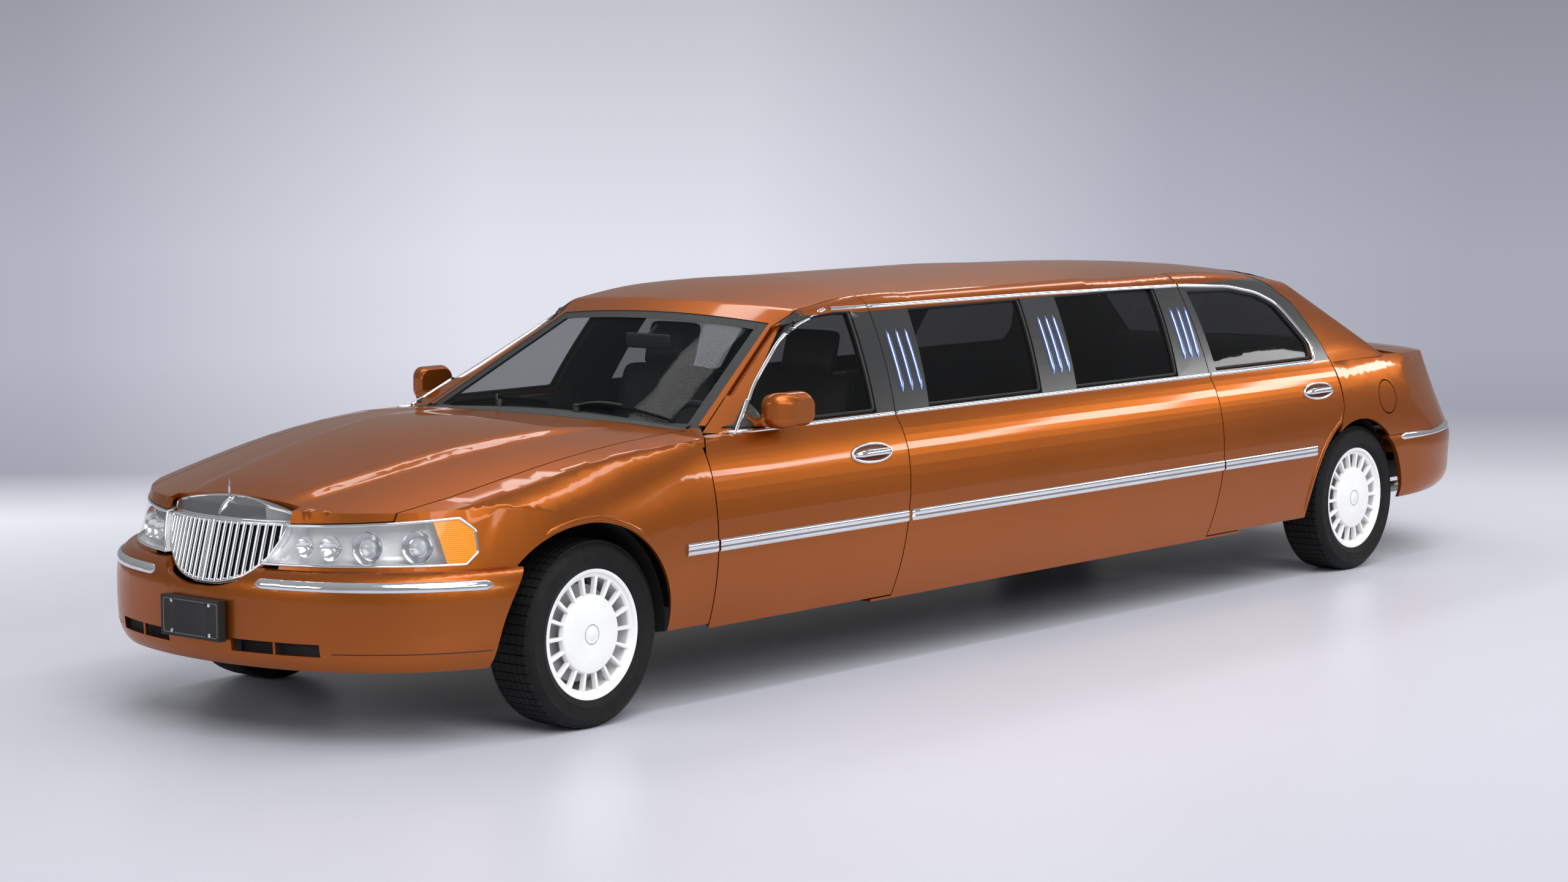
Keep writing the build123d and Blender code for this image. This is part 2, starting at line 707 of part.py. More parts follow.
with BuildPart() as quarter_panels:
    add(thin_shell.part)
    add(bar(rear_door_end - 460, rear_end + 60, -far, far, sill_z - 1, far), mode=Mode.INTERSECT)
    for side in (-1, 1):
        add(plug(rear_door_rows, side, seam), mode=Mode.SUBTRACT)
    add(bar(rear_door_end - 500, trunk_front_x - 40, -belt_y, belt_y, belt_z, far), mode=Mode.SUBTRACT)
    add(bar(rear_door_end - 500, rear_door_end + 2, -belt_y - 4, belt_y + 4, sill_z - 50, far), mode=Mode.SUBTRACT)
    add(plan_prism(trunk_plan, trunk_cut_z - seam, far, seam), mode=Mode.SUBTRACT)
    add(rear_arch, mode=Mode.SUBTRACT)
    add(lamp_block(tail_side, tail_lamp_inner_y, 1), mode=Mode.SUBTRACT)
    add(bar(rear_axle_x + arch_rear_dx, rear_end + 60, -far, far, 0, rear_bumper_top_z + seat_gap), mode=Mode.SUBTRACT)
    add(cyl(Plane((flap_x, -half_width - 60, flap_z), z_dir=(0, 1, 0)), flap_radius + seam / 2, 300), mode=Mode.SUBTRACT)
finish("quarter_panels", quarter_panels)

with BuildPart() as fuel_flap:
    add(thin_shell.part)
    add(cyl(Plane((flap_x, -half_width - 60, flap_z), z_dir=(0, 1, 0)), flap_radius - seam / 2, 300), mode=Mode.INTERSECT)
finish("fuel_flap", fuel_flap)

with BuildPart() as side_panels:
    add(side_wall.part)
    add(bar(b_seam_belt_x - 200, rear_door_x + 200, -far, far, 0, far), mode=Mode.INTERSECT)
    for side in (-1, 1):
        add(plug(front_door_rows, side, seam), mode=Mode.SUBTRACT)
        add(plug(rear_door_rows, side, seam), mode=Mode.SUBTRACT)
finish("side_panels", side_panels)

pillar_top_z = window_top_z
with BuildPart() as pillars:
    add(cabin_shell.part)
    add(bar(b_seam_belt_x - 200, rear_door_x + 400, -far, far, belt_z, pillar_top_z), mode=Mode.INTERSECT)
    for side in (-1, 1):
        add(plug(front_door_rows, side, seam), mode=Mode.SUBTRACT)
        add(plug(rear_door_rows, side, seam), mode=Mode.SUBTRACT)
        for window in stretch_windows:
            add(side_prism(window, side, 500, 1000), mode=Mode.SUBTRACT)
finish("pillars", pillars)

with BuildPart() as window_holes:
    for side in (-1, 1):
        for window in stretch_windows:
            add(side_prism(window, side, 500, 1000, -seat_gap))
with BuildPart() as side_windows:
    add(glass_layer.part)
    add(window_holes.part, mode=Mode.INTERSECT)
finish("side_windows", side_windows)

deck_start_x = trunk_front_x - 42
pillar_inner_y = 560


def door_hole(side):
    """Both doorways of one side, as the roof is cut for them."""
    with BuildPart() as hole:
        add(plug(front_door_rows, side, seam))
        add(plug(rear_door_rows, side, seam))
        add(door_plan(side, seam), mode=Mode.INTERSECT)
    return hole.part


def pillar_zone(side):
    """The band between the doors that the pillars fill on one side."""
    reach = sorted((side * pillar_inner_y, side * far))
    with BuildPart() as zone:
        add(bar(b_seam_belt_x - 200, rear_door_x + 400, *reach, belt_z - 1, pillar_top_z))
        add(plug(front_door_rows, side, seam), mode=Mode.SUBTRACT)
        add(plug(rear_door_rows, side, seam), mode=Mode.SUBTRACT)
    return zone.part


with BuildPart() as roof:
    add(cabin_shell.part)
    for side in (-1, 1):
        add(door_hole(side), mode=Mode.SUBTRACT)
        for window in stretch_windows:
            add(side_prism(window, side, 500, 1000), mode=Mode.SUBTRACT)
    for side in (-1, 1):
        add(pillar_zone(side), mode=Mode.SUBTRACT)
    add(screen_hole, mode=Mode.SUBTRACT)
    add(back_hole, mode=Mode.SUBTRACT)
    add(bar(-far, screen_base_x + 300, -far, far, 0, screen_foot_z), mode=Mode.SUBTRACT)
    add(bar(deck_start_x, far, -far, far, 0, far), mode=Mode.SUBTRACT)
finish("roof", roof)

with BuildPart() as screen_layer:
    add(greenhouse(0, 4))
    add(greenhouse(0, 10), mode=Mode.SUBTRACT)
with BuildPart() as windshield:
    add(screen_layer.part)
    add(screen_glass_zone, mode=Mode.INTERSECT)
finish("windshield", windshield)
with BuildPart() as rear_window:
    add(screen_layer.part)
    add(back_glass_zone, mode=Mode.INTERSECT)
finish("rear_window", rear_window)

with BuildPart() as lamp_skin:
    add(body_outer)
    add(lower_body(lamp_depth, 60), mode=Mode.SUBTRACT)
with BuildPart() as headlamps:
    add(lamp_skin.part)
    add(lamp_block(lamp_side, lamp_inner_y), mode=Mode.INTERSECT)
    add(bar(front_end - 60, lamp_end_x + 10, -far, far, 0, far), mode=Mode.INTERSECT)
    add(grille_opening, mode=Mode.SUBTRACT)
    add(bar(front_end, lamp_end_x, -header_half, header_half, grille_top_z - 3, far), mode=Mode.SUBTRACT)
finish("headlamps", headlamps)
with BuildPart() as tail_lamps:
    add(lamp_skin.part)
    add(lamp_block(tail_side, tail_lamp_inner_y), mode=Mode.INTERSECT)
    add(plan_prism(trunk_plan, trunk_cut_z - seam, far, seam), mode=Mode.SUBTRACT)
finish("tail_lamps", tail_lamps)

# ---- Bumpers: height, nose, corner end x and y ----
bumper_wall = 22
# Height, tip setback, corner setback behind the tip, corner half width.
bumper_rows = [
    (sill_z + 6, 70, 520, 882), (sill_z + 70, 36, 515, 912), (sill_z + 190, 32, 520, 930),
    (sill_z + 300, 44, 530, 930), (bumper_top_z, 92, 530, 907),
]
front_bend = (62, 420)  # where the nose arc ends: behind the tip, from the middle
front_run_back = (143, 40)
bumper_back_x = front_axle_x - 330
intake_z = sill_z + 62
intake_height = 44
opening_drop = 80
# Openings through the top of the bumper behind its edge: from x, to y each side.
front_openings = [
    (front_end + 260, 596), (front_end + 400, 716), (front_axle_x - 510, 846), (front_axle_x - 404, 880),
]
plate_half = 154
plate_z = 366
plate_height = 142
plate_depth = 31.5


def bumper_solid(rows, way, bend, run_back, inset=0):
    """Rounded bumper form through a few heights. way is -1 at the nose and 1 at the tail."""
    end = front_end if way < 0 else rear_end
    with BuildPart() as body:
        for z, tip, corner_dx, corner_y in rows:
            tip_x = end - way * (tip + inset)
            corner_x = tip_x - way * corner_dx
            add(plan_outline(z, tip_x, end - way * 1500,
                             ((tip_x - way * bend[0], bend[1] - inset), (corner_x, corner_y - inset)),
                             (corner_x - way * run_back[0], corner_y - inset + run_back[1])))
        loft()
    return body.part


bumper_inner_rows = [(bumper_rows[0][0] - 20, *bumper_rows[0][1:])] + bumper_rows[1:-1]
bumper_inner_rows.append((bumper_top_z - bumper_wall, *bumper_rows[-1][1:]))
with BuildPart() as front_bumper:
    add(bumper_solid(bumper_rows, -1, front_bend, front_run_back))
    add(bumper_solid(bumper_inner_rows, -1, front_bend, front_run_back, bumper_wall), mode=Mode.SUBTRACT)
    add(bar(front_end - 60, front_axle_x - 60, -far, far, 0, far), mode=Mode.INTERSECT)
    for start_x, half_y in front_openings:
        add(bar(start_x, front_axle_x, -half_y, half_y, bumper_top_z - opening_drop, far), mode=Mode.SUBTRACT)
    add(front_arch, mode=Mode.SUBTRACT)
    for side in (-1, 1):
        add(side_prism([(front_axle_x - 400, 0), (front_axle_x - 560, 0), (front_axle_x - 420, sill_z + 200), (front_axle_x - 400, sill_z + 200)], side, 600, 1000), mode=Mode.SUBTRACT)
        add(bar(front_end - 60, front_end + 300, *sorted((side * (plate_half + 12), side * 520)), intake_z,
                intake_z + intake_height), mode=Mode.SUBTRACT)
    add(grille_opening, mode=Mode.SUBTRACT)
finish("front_bumper", front_bumper)

rear_bumper_rows = [
    (sill_z + 40, 60, 330, 790), (sill_z + 130, 8, 330, 812), (sill_z + 250, 0, 330, 815),
    (rear_bumper_top_z - 30, 6, 330, 812), (rear_bumper_top_z, 26, 335, 802),
]
rear_bend = (52, 430)
rear_inner_rows = [(rear_bumper_rows[0][0] - 20, *rear_bumper_rows[0][1:])] + rear_bumper_rows[1:-1]
rear_inner_rows.append((rear_bumper_top_z - bumper_wall, *rear_bumper_rows[-1][1:]))
rear_run_back = (670, 177)
with BuildPart() as rear_bumper:
    add(bumper_solid(rear_bumper_rows, 1, rear_bend, rear_run_back))
    add(bumper_solid(rear_inner_rows, 1, rear_bend, rear_run_back, bumper_wall), mode=Mode.SUBTRACT)
    add(bar(rear_axle_x + 60, rear_end + 60, -far, far, 0, far), mode=Mode.INTERSECT)
    add(bar(rear_axle_x, rear_end - 240, -700, 700, rear_bumper_top_z - 80, far), mode=Mode.SUBTRACT)
    add(bar(rear_axle_x, rear_axle_x + 440, -940, 940, rear_bumper_top_z - 80, far), mode=Mode.SUBTRACT)
    add(rear_arch, mode=Mode.SUBTRACT)
finish("rear_bumper", rear_bumper)

# ---- Grille and its header ----
grille_radius = 660
grille_face_x = front_end + 132
grille_lean = 0.28
grille_bars = 22
grille_bar_width = 11
grille_frame_width = 14
grille_depth = 30
header_top_z = 847
header_end_z = 808
header_back_x = front_end + 228


def grille_arc_block(depth_front, depth_back, z0, z1):
    """Leaning shell between two plan arcs, thick enough for the grille."""
    with BuildPart() as body:
        for z in (z0, z1):
            face = grille_face_x + (z - grille_top_z) * grille_lean
            with BuildSketch(Plane.XY.offset(z)):
                with BuildLine():
                    for depth in (depth_front, depth_back):
                        radius = grille_radius - depth
                        half = 400
                        dip = radius - sqrt(radius * radius - half * half)
                        ThreePointArc((face + depth + dip, -half), (face + depth, 0), (face + depth + dip, half))
                    d0 = grille_radius - depth_front - sqrt((grille_radius - depth_front) ** 2 - half * half)
                    d1 = grille_radius - depth_back - sqrt((grille_radius - depth_back) ** 2 - half * half)
                    Line((face + depth_front + d0, -half), (face + depth_back + d1, -half))
                    Line((face + depth_front + d0, half), (face + depth_back + d1, half))
                make_face()
        loft(ruled=True)
    return body.part


grille_pitch = 2 * grille_half_top / grille_bars
slot_half = (grille_pitch - grille_bar_width) / 2
with BuildPart() as grille_slots:
    for i in range(grille_bars):
        y = -grille_half_top + (i + 0.5) * grille_pitch
        add(bar(front_end - 60, front_end + 400, y - slot_half, y + slot_half, 0, far))
    add(shield(grille_frame_width), mode=Mode.INTERSECT)

with BuildPart() as grille:
    add(grille_arc_block(0, grille_depth, grille_base_z - 40, grille_top_z + 40))
    add(shield(0), mode=Mode.INTERSECT)
    add(grille_slots.part, mode=Mode.SUBTRACT)
finish("grille", grille)

with BuildPart() as grille_header:
    add(prism(Plane.XZ.offset(-half_width), [
        (grille_face_x - 2, grille_top_z + seat_gap), (header_back_x, grille_top_z + seat_gap),
        (header_back_x, header_top_z), (grille_face_x + 46, header_top_z - 22)], 2 * half_width))
    add(grille_arc_block(-1, 96, grille_top_z - 20, header_top_z + 40), mode=Mode.INTERSECT)
    with BuildSketch(Plane.YZ.offset(front_end - 60)):
        with BuildLine():
            ThreePointArc((-grille_half_top, header_end_z), (0, header_top_z), (grille_half_top, header_end_z))
            Polyline((grille_half_top, header_end_z), (grille_half_top, 0), (-grille_half_top, 0),
                     (-grille_half_top, header_end_z))
        make_face()
    extrude(amount=560, mode=Mode.INTERSECT)
finish("grille_header", grille_header)

with BuildPart() as plate_bracket:
    add(bar(front_end, front_end + plate_depth, -plate_half, plate_half, plate_z, plate_z + plate_height))
    for y in (-89, 89):
        for z in (plate_z + 16, plate_z + plate_height - 16):
            add(cyl(Plane((front_end - 1, y, z), z_dir=(1, 0, 0)), 3.5, plate_depth + 2), mode=Mode.SUBTRACT)
finish("plate_bracket", plate_bracket)

# ---- Wheels, hubs and axles ----
front_wheel_y = front_track / 2
rear_wheel_y = rear_track / 2
rim_width = 190
wheel_face_out = 96  # face of the centre disc outboard of the wheel's middle
disc_thick = 12
bead_radius = rim_radius - 16
slot_count = 18
slot_inner = 118
slot_outer = 188
hub_bore = 32
hub_clear = 0.05
disc_radius = 100


def wheel_profile(side, y_mid):
    """Rim and centre disc turned about the wheel's axis. The section is radius against y."""
    def p(r, out):
        return (r, side * (y_mid + out))
    half = rim_width / 2
    return [p(hub_bore, wheel_face_out - 70), p(hub_bore + 40, wheel_face_out - 70), p(hub_bore + 60, wheel_face_out - disc_thick - 4),
            p(slot_outer + 12, wheel_face_out - disc_thick - 14), p(bead_radius - 16, wheel_face_out - 46),
            p(bead_radius - 16, -half + 14), p(rim_radius - 6, -half), p(rim_radius, -half), p(rim_radius, -half + 8),
            p(bead_radius, -half + 22), p(bead_radius, half - 18), p(rim_radius, half - 4), p(rim_radius, half + 4),
            p(rim_radius - 10, half + 4), p(slot_outer + 12, wheel_face_out - 10), p(disc_radius, wheel_face_out),
            p(hub_bore, wheel_face_out)]


def tyre_profile(side, y_mid):
    half = tyre_width / 2
    def p(r, out):
        return (r, side * (y_mid + out))
    flange = rim_width / 2 - 2 * seat_gap
    return [p(bead_radius + seat_gap, 22 - flange), p(rim_radius + seat_gap, 8 - flange),
            p(rim_radius + seat_gap, -half + 14), p(rim_radius + 34, -half + 1),
            p(tyre_radius - 34, -half + 3), p(tyre_radius - 6, -half + 18), p(tyre_radius, -half + 42),
            p(tyre_radius, half - 42), p(tyre_radius - 6, half - 18), p(tyre_radius - 34, half - 3),
            p(rim_radius + 34, half - 1), p(rim_radius + seat_gap, half - 14),
            p(rim_radius + seat_gap, flange - 4), p(bead_radius + seat_gap, flange - 18)]


def turned(points, x, z):
    """Solid turned about an axis across the car at x and z."""
    with BuildPart() as body:
        with BuildSketch(Plane((x, 0, z), x_dir=(1, 0, 0), z_dir=(0, 0, 1))):
            with BuildLine():
                Polyline(*points, close=True)
            make_face()
        revolve(axis=Axis((x, 0, z), (0, 1, 0)))
    return body.part


corners = [("front_left", -1, front_axle_x, front_wheel_y), ("front_right", 1, front_axle_x, front_wheel_y),
           ("rear_left", -1, rear_axle_x, rear_wheel_y), ("rear_right", 1, rear_axle_x, rear_wheel_y)]
for tag, side, x, y_mid in corners:
    face_y = side * (y_mid + wheel_face_out + 20)
    with BuildPart() as slot_cut:
        with BuildSketch(Plane((x, face_y, tyre_radius), x_dir=(1, 0, 0), z_dir=(0, -side, 0))):
            with PolarLocations((slot_inner + slot_outer) / 2 + 4, slot_count):
                SlotOverall(slot_outer - slot_inner, 16)
        extrude(amount=75)
    with BuildPart() as wheel:
        add(turned(wheel_profile(side, y_mid), x, tyre_radius))
        add(slot_cut.part, mode=Mode.SUBTRACT)
    finish(f"wheel_{tag}", wheel)
    with BuildPart() as tyre:
        add(turned(tyre_profile(side, y_mid), x, tyre_radius))
    finish(f"tyre_{tag}", tyre)

# ---- Hubs, knuckles, front suspension and rear axle ----
kingpin_y = front_wheel_y - kingpin_inset
spindle_radius = hub_bore - hub_clear
knuckle_post_radius = 24
knuckle_hub_radius = 55
knuckle_post_half = 112
spindle_tip_out = wheel_face_out - 8
arm_thick = 24
strut_y = 565
strut_radius = 34
arm_half = 34
crossmember_top_z = 290
floor_z = 330
floor_thick = 18
rail_height = 110
rail_out_y = 570
rail_in_y = 500
front_rail_out_y = 500
front_rail_in_y = 430
front_rail_z = crossmember_top_z + seat_gap
crossbar_depth = 28
horn_in_y = 522
crossbar_half = 560
kick_up_x = rear_axle_x - 650
raised_floor_z = 500
rear_rail_z = raised_floor_z - 90
sill_out_y = sill_y - door_wall - 12
sill_in_y = sill_out_y - 76
sill_top_z = floor_z + 74
outrigger_y = half_width - door_wall - arc_inset(
    (half_width - door_wall, widest_z), (sill_y - door_wall, sill_z - inner_wall_drop), floor_z) - seat_gap
firewall_x = front_joint_x + 83
firewall_thick = 18
bulkhead_x = rear_axle_x + 260
trunk_floor_z = 400
trunk_floor_end_x = rear_end - 230
wheel_well_y = 690
for tag, side in (("left", -1), ("right", 1)):
    with BuildPart() as knuckle:
        add(cyl(Plane((front_axle_x, side * kingpin_y, tyre_radius - knuckle_post_half)), knuckle_post_radius, 2 * knuckle_post_half))
        add(cyl(Plane((front_axle_x, side * (kingpin_y - 26), tyre_radius), z_dir=(0, side, 0)), knuckle_hub_radius,
                front_wheel_y + wheel_face_out - 70 - seat_gap - kingpin_y + 26))
        add(cyl(Plane((front_axle_x, side * kingpin_y, tyre_radius), z_dir=(0, side, 0)), spindle_radius,
                front_wheel_y + spindle_tip_out - kingpin_y))
    finish(f"knuckle_{tag}", knuckle)

with BuildPart() as front_suspension:
    add(bar(front_axle_x - 70, front_axle_x + 70, -front_rail_out_y, front_rail_out_y, crossmember_top_z - 90, crossmember_top_z))
    for side in (-1, 1):
        low_z = tyre_radius - knuckle_post_half - seat_gap - arm_thick
        high_z = tyre_radius + knuckle_post_half + seat_gap
        add(bar(front_axle_x - arm_half, front_axle_x + arm_half, *sorted((side * (front_rail_out_y - 40), side * kingpin_y)), low_z, low_z + arm_thick))
        add(cyl(Plane((front_axle_x, side * kingpin_y, low_z)), arm_half, arm_thick))
        add(bar(front_axle_x - arm_half, front_axle_x + arm_half, *sorted((side * strut_y, side * kingpin_y)), high_z, high_z + arm_thick))
        add(cyl(Plane((front_axle_x, side * kingpin_y, high_z)), arm_half, arm_thick))
        add(cyl(Plane((front_axle_x, side * strut_y, low_z)), strut_radius, high_z + arm_thick - low_z))
finish("front_suspension", front_suspension)

diff_radius = 108
axle_tube_radius = 38
shaft_radius = 36
shaft_z = floor_z - crossbar_depth - seat_gap - shaft_radius
shaft_start_x = firewall_x - 5
with BuildPart() as rear_axle:
    add(cyl(Plane((rear_axle_x, -(rear_wheel_y + wheel_face_out - 70 - seat_gap), tyre_radius), z_dir=(0, 1, 0)), axle_tube_radius, 2 * (rear_wheel_y + wheel_face_out - 70 - seat_gap)))
    add(cyl(Plane((rear_axle_x, -(rear_wheel_y + spindle_tip_out), tyre_radius), z_dir=(0, 1, 0)), spindle_radius, 2 * (rear_wheel_y + spindle_tip_out)))
    add(cyl(Plane((rear_axle_x - 120, 0, tyre_radius), z_dir=(1, 0, 0)), diff_radius, 240))
    fillet(rear_axle.edges().filter_by(GeomType.CIRCLE).filter_by(lambda e: abs(e.radius - diff_radius) < 1), radius=40)
    for side in (-1, 1):
        add(bar(rear_axle_x - 50, rear_axle_x + 50, *sorted((side * (rail_in_y + 6), side * (rail_out_y - 6))), tyre_radius, rear_rail_z - seat_gap))
finish("rear_axle", rear_axle)
with BuildPart() as driveshaft:
    add(cyl(Plane((shaft_start_x, 0, shaft_z), z_dir=(1, 0, 0)), shaft_radius, kick_up_x - 300 - shaft_start_x))
    run = Vector(rear_axle_x - 120 - seat_gap - (kick_up_x - 300), 0, tyre_radius - shaft_z)
    add(cyl(Plane((kick_up_x - 300, 0, shaft_z), z_dir=run.normalized()), shaft_radius, run.length - 12))
finish("driveshaft", driveshaft)

drop_x = bulkhead_x - floor_thick - seat_gap


def bumper_horn(side):
    """The bracket from the front crossbar to the inside of the bumper on one side."""
    sides = sorted((side * horn_in_y, side * crossbar_half))
    with BuildPart() as horn:
        add(bar(front_end, front_end + 215, *sides, front_rail_z, front_rail_z + rail_height))
        add(bumper_solid(bumper_inner_rows, -1, front_bend, front_run_back, bumper_wall + seat_gap), mode=Mode.INTERSECT)
    return horn.part


with BuildPart() as chassis_frame:
    for side in (-1, 1):
        add(bar(front_end + 210, front_axle_x + 430, *sorted((side * front_rail_in_y, side * front_rail_out_y)), front_rail_z, front_rail_z + rail_height))
        add(bar(front_axle_x + 360, front_axle_x + 430, *sorted((side * front_rail_in_y, side * rail_out_y)), floor_z - rail_height, front_rail_z + rail_height))
        add(bar(front_axle_x + 360, kick_up_x + 70, *sorted((side * rail_in_y, side * rail_out_y)), floor_z - rail_height, floor_z - seat_gap))
        add(bar(kick_up_x + 10, kick_up_x + 80, *sorted((side * rail_in_y, side * rail_out_y)), floor_z - rail_height, raised_floor_z - seat_gap))
        add(bar(kick_up_x + 10, drop_x, *sorted((side * rail_in_y, side * rail_out_y)), rear_rail_z, raised_floor_z - seat_gap))
        add(bar(drop_x - 70, rear_end - 230, *sorted((side * rail_in_y, side * rail_out_y)), trunk_floor_z - 80, trunk_floor_z - seat_gap))
        add(bar(drop_x - 70, drop_x, *sorted((side * rail_in_y, side * rail_out_y)), trunk_floor_z - 80, raised_floor_z - seat_gap))
    add(bar(front_end + 210, front_end + 260, -560, 560, front_rail_z, front_rail_z + rail_height))
    for x in (front_axle_x + 900, front_axle_x + 1700, front_axle_x + 2900, kick_up_x - 400):
        add(bar(x - 50, x + 50, -rail_in_y, rail_in_y, floor_z - crossbar_depth, floor_z - seat_gap))
    add(bar(rear_end - 280, rear_end - 230, -560, 560, trunk_floor_z - 80, trunk_floor_z - seat_gap))
    for side in (-1, 1):
        add(bumper_horn(side))
finish("chassis_frame", chassis_frame)

with BuildPart() as floor_pan:
    add(bar(firewall_x, kick_up_x, -sill_out_y, sill_out_y, floor_z, floor_z + floor_thick))
    for side in (-1, 1):
        add(bar(firewall_x, kick_up_x, *sorted((side * sill_in_y, side * sill_out_y)), floor_z - 40, sill_top_z))
    add(bar(b_seam_belt_x + 60, rear_door_x - 80, -outrigger_y, outrigger_y, floor_z, floor_z + floor_thick))
    add(bar(firewall_x, firewall_x + firewall_thick, 25 - sill_out_y, sill_out_y - 25, floor_z, 950))
    add(bar(kick_up_x - floor_thick, kick_up_x, -sill_out_y, sill_out_y, floor_z, raised_floor_z + floor_thick))
    add(bar(kick_up_x - floor_thick, bulkhead_x, -wheel_well_y, wheel_well_y, raised_floor_z, raised_floor_z + floor_thick))
    add(bar(bulkhead_x - floor_thick, bulkhead_x, -wheel_well_y, wheel_well_y, trunk_floor_z, 950))
    add(bar(bulkhead_x - floor_thick, trunk_floor_end_x, -620, 620, trunk_floor_z, trunk_floor_z + floor_thick))
finish("floor_pan", floor_pan)

with BuildPart() as engine_block:
    add(bar(front_axle_x - 440, front_axle_x + 300, -270, 270, crossmember_top_z + seat_gap, 790))
    add(bar(front_axle_x + 290, shaft_start_x - seat_gap, -150, 150, 215, 500))
finish("engine_block", engine_block)

exhaust_y = 430
pipe_radius = 27
pipe_start_x = front_axle_x + 700
pipe_end_x = rear_end - 60
muffler_x = rear_axle_x - 1700
muffler_end_x = rear_axle_x - 1050
muffler_top_z = floor_z - crossbar_depth - seat_gap
muffler_height = 119
exhaust_z = muffler_top_z - muffler_height / 2
with BuildPart() as mufflers:
    for side in (-1, 1):
        sides = sorted((side * (exhaust_y - 90), side * (exhaust_y + 60)))
        add(bar(muffler_x, muffler_end_x, *sides, muffler_top_z - muffler_height, muffler_top_z))
finish("mufflers", mufflers)
pipe_runs = [("exhaust_pipes", pipe_start_x, muffler_x - seat_gap), ("tail_pipes", muffler_end_x + seat_gap, pipe_end_x)]
for name, start_x, end_x in pipe_runs:
    with BuildPart() as pipes:
        for side in (-1, 1):
            add(cyl(Plane((start_x, side * exhaust_y, exhaust_z), z_dir=(1, 0, 0)), pipe_radius, end_x - start_x))
    finish(name, pipes)
with BuildPart() as fuel_tank:
    add(bar(rear_axle_x + 480, rear_axle_x + 1000, -380, 380, trunk_floor_z - 130, trunk_floor_z - seat_gap))
    fillet(fuel_tank.edges(), radius=24)
finish("fuel_tank", fuel_tank)

# ---- Cabin ----
dash_top_z = 960
with BuildPart() as dashboard:
    add(prism(Plane.XZ.offset(780), [
        (firewall_x + firewall_thick + seat_gap, 600), (firewall_x + 330, 640), (firewall_x + 400, 760),
        (firewall_x + 380, 860), (firewall_x + 300, dash_top_z - 30), (firewall_x + 60, dash_top_z),
        (firewall_x + firewall_thick + seat_gap, dash_top_z - 20)], -1560))
finish("dashboard", dashboard)

seat_y = 375
seat_half = 250
seat_front_x = front_joint_x + 640
floor_top = floor_z + floor_thick + seat_gap


def chair(side):
    """Front seat in side view: cushion, back and head restraint, extruded across."""
    x = seat_front_x
    body = prism(Plane.XZ.offset(-side * seat_y + seat_half), [
        (x + 40, floor_top), (x + 500, floor_top), (x + 560, 600), (x + 690, 1140), (x + 600, 1150),
        (x + 440, 640), (x + 400, 590), (x, 620), (x, 540)], -2 * seat_half)
    head = prism(Plane.XZ.offset(-side * seat_y + 130), [
        (x + 600, 1139), (x + 690, 1139), (x + 710, 1300), (x + 640, 1320), (x + 610, 1290)], -260)
    return body, head


with BuildPart() as front_seats:
    for side in (-1, 1):
        for piece in chair(side):
            add(piece)
finish("front_seats", front_seats)
bench_back_x = bulkhead_x - floor_thick - seat_gap
with BuildPart() as rear_bench:
    add(prism(Plane.XZ.offset(640), [
        (bench_back_x - 800, raised_floor_z + floor_thick + seat_gap), (bench_back_x, raised_floor_z + floor_thick + seat_gap),
        (bench_back_x, 960), (bench_back_x - 90, 980), (bench_back_x - 260, 720), (bench_back_x - 780, 740),
        (bench_back_x - 820, 690)], -1280))
finish("rear_bench", rear_bench)
side_bench_x = b_seam_belt_x + 350
side_bench_end_x = rear_door_x - 80
with BuildPart() as side_bench:
    add(prism(Plane.YZ.offset(side_bench_x), [
        (360, floor_top), (sill_in_y - 3, floor_top), (sill_in_y - 3, sill_top_z), (800, sill_top_z + 80), (800, 950),
        (720, 960), (650, 680), (330, 700), (320, 640)], side_bench_end_x - side_bench_x))
finish("side_bench", side_bench)

wheel_hub_x = firewall_x + 560
wheel_hub_z = 870
wheel_tilt = 24
steer_ring = 190
column_reach = 177.2  # from the hub plane to the dashboard's face
with BuildPart() as steering_wheel:
    axis = Vector(cos(radians(wheel_tilt)), 0, sin(radians(wheel_tilt)))
    plane = Plane(origin=(wheel_hub_x, -seat_y, wheel_hub_z), x_dir=(0, 1, 0), z_dir=axis)
    with BuildSketch(Plane(origin=plane.origin + plane.x_dir * steer_ring, x_dir=plane.x_dir, z_dir=plane.y_dir)):
        Circle(15)
    revolve(axis=Axis(plane.origin, axis))
    with BuildSketch(plane.offset(-14)):
        Rectangle(2 * steer_ring - 10, 36)
        Circle(62)
    extrude(amount=24)
    with BuildSketch(plane.offset(-column_reach)):
        Circle(24)
    extrude(amount=column_reach - 10)
finish("steering_wheel", steering_wheel)

# ---- Wheel liners ----
liner_gap = 9
liner_thick = 5
liner_out_y = 918
liner_step_x = front_axle_x - 230
liner_step_y = 870
liner_step_z = bumper_top_z + 120
with BuildPart() as wheel_liners:
    for side in (-1, 1):
        for x, dx, z, radius, reach, foot in (
                (front_axle_x, arch_front_dx, arch_front_z, arch_front_r, 570, 300),
                (rear_axle_x, arch_rear_dx, arch_rear_z, arch_rear_r, wheel_well_y + seat_gap, 360)):
            centre = Plane((x + dx, side * reach, z), z_dir=(0, side, 0))
            ring = cyl(centre, radius + liner_gap + liner_thick, liner_out_y - reach)
            ring -= cyl(centre.offset(-5), radius + liner_gap, 500)
            ring &= bar(x - 600, x + 600, -1100, 1100, foot, 1000)
            add(ring - bar(front_end, liner_step_x, *sorted((side * liner_step_y, side * far)), 0, liner_step_z))
finish("wheel_liners", wheel_liners)

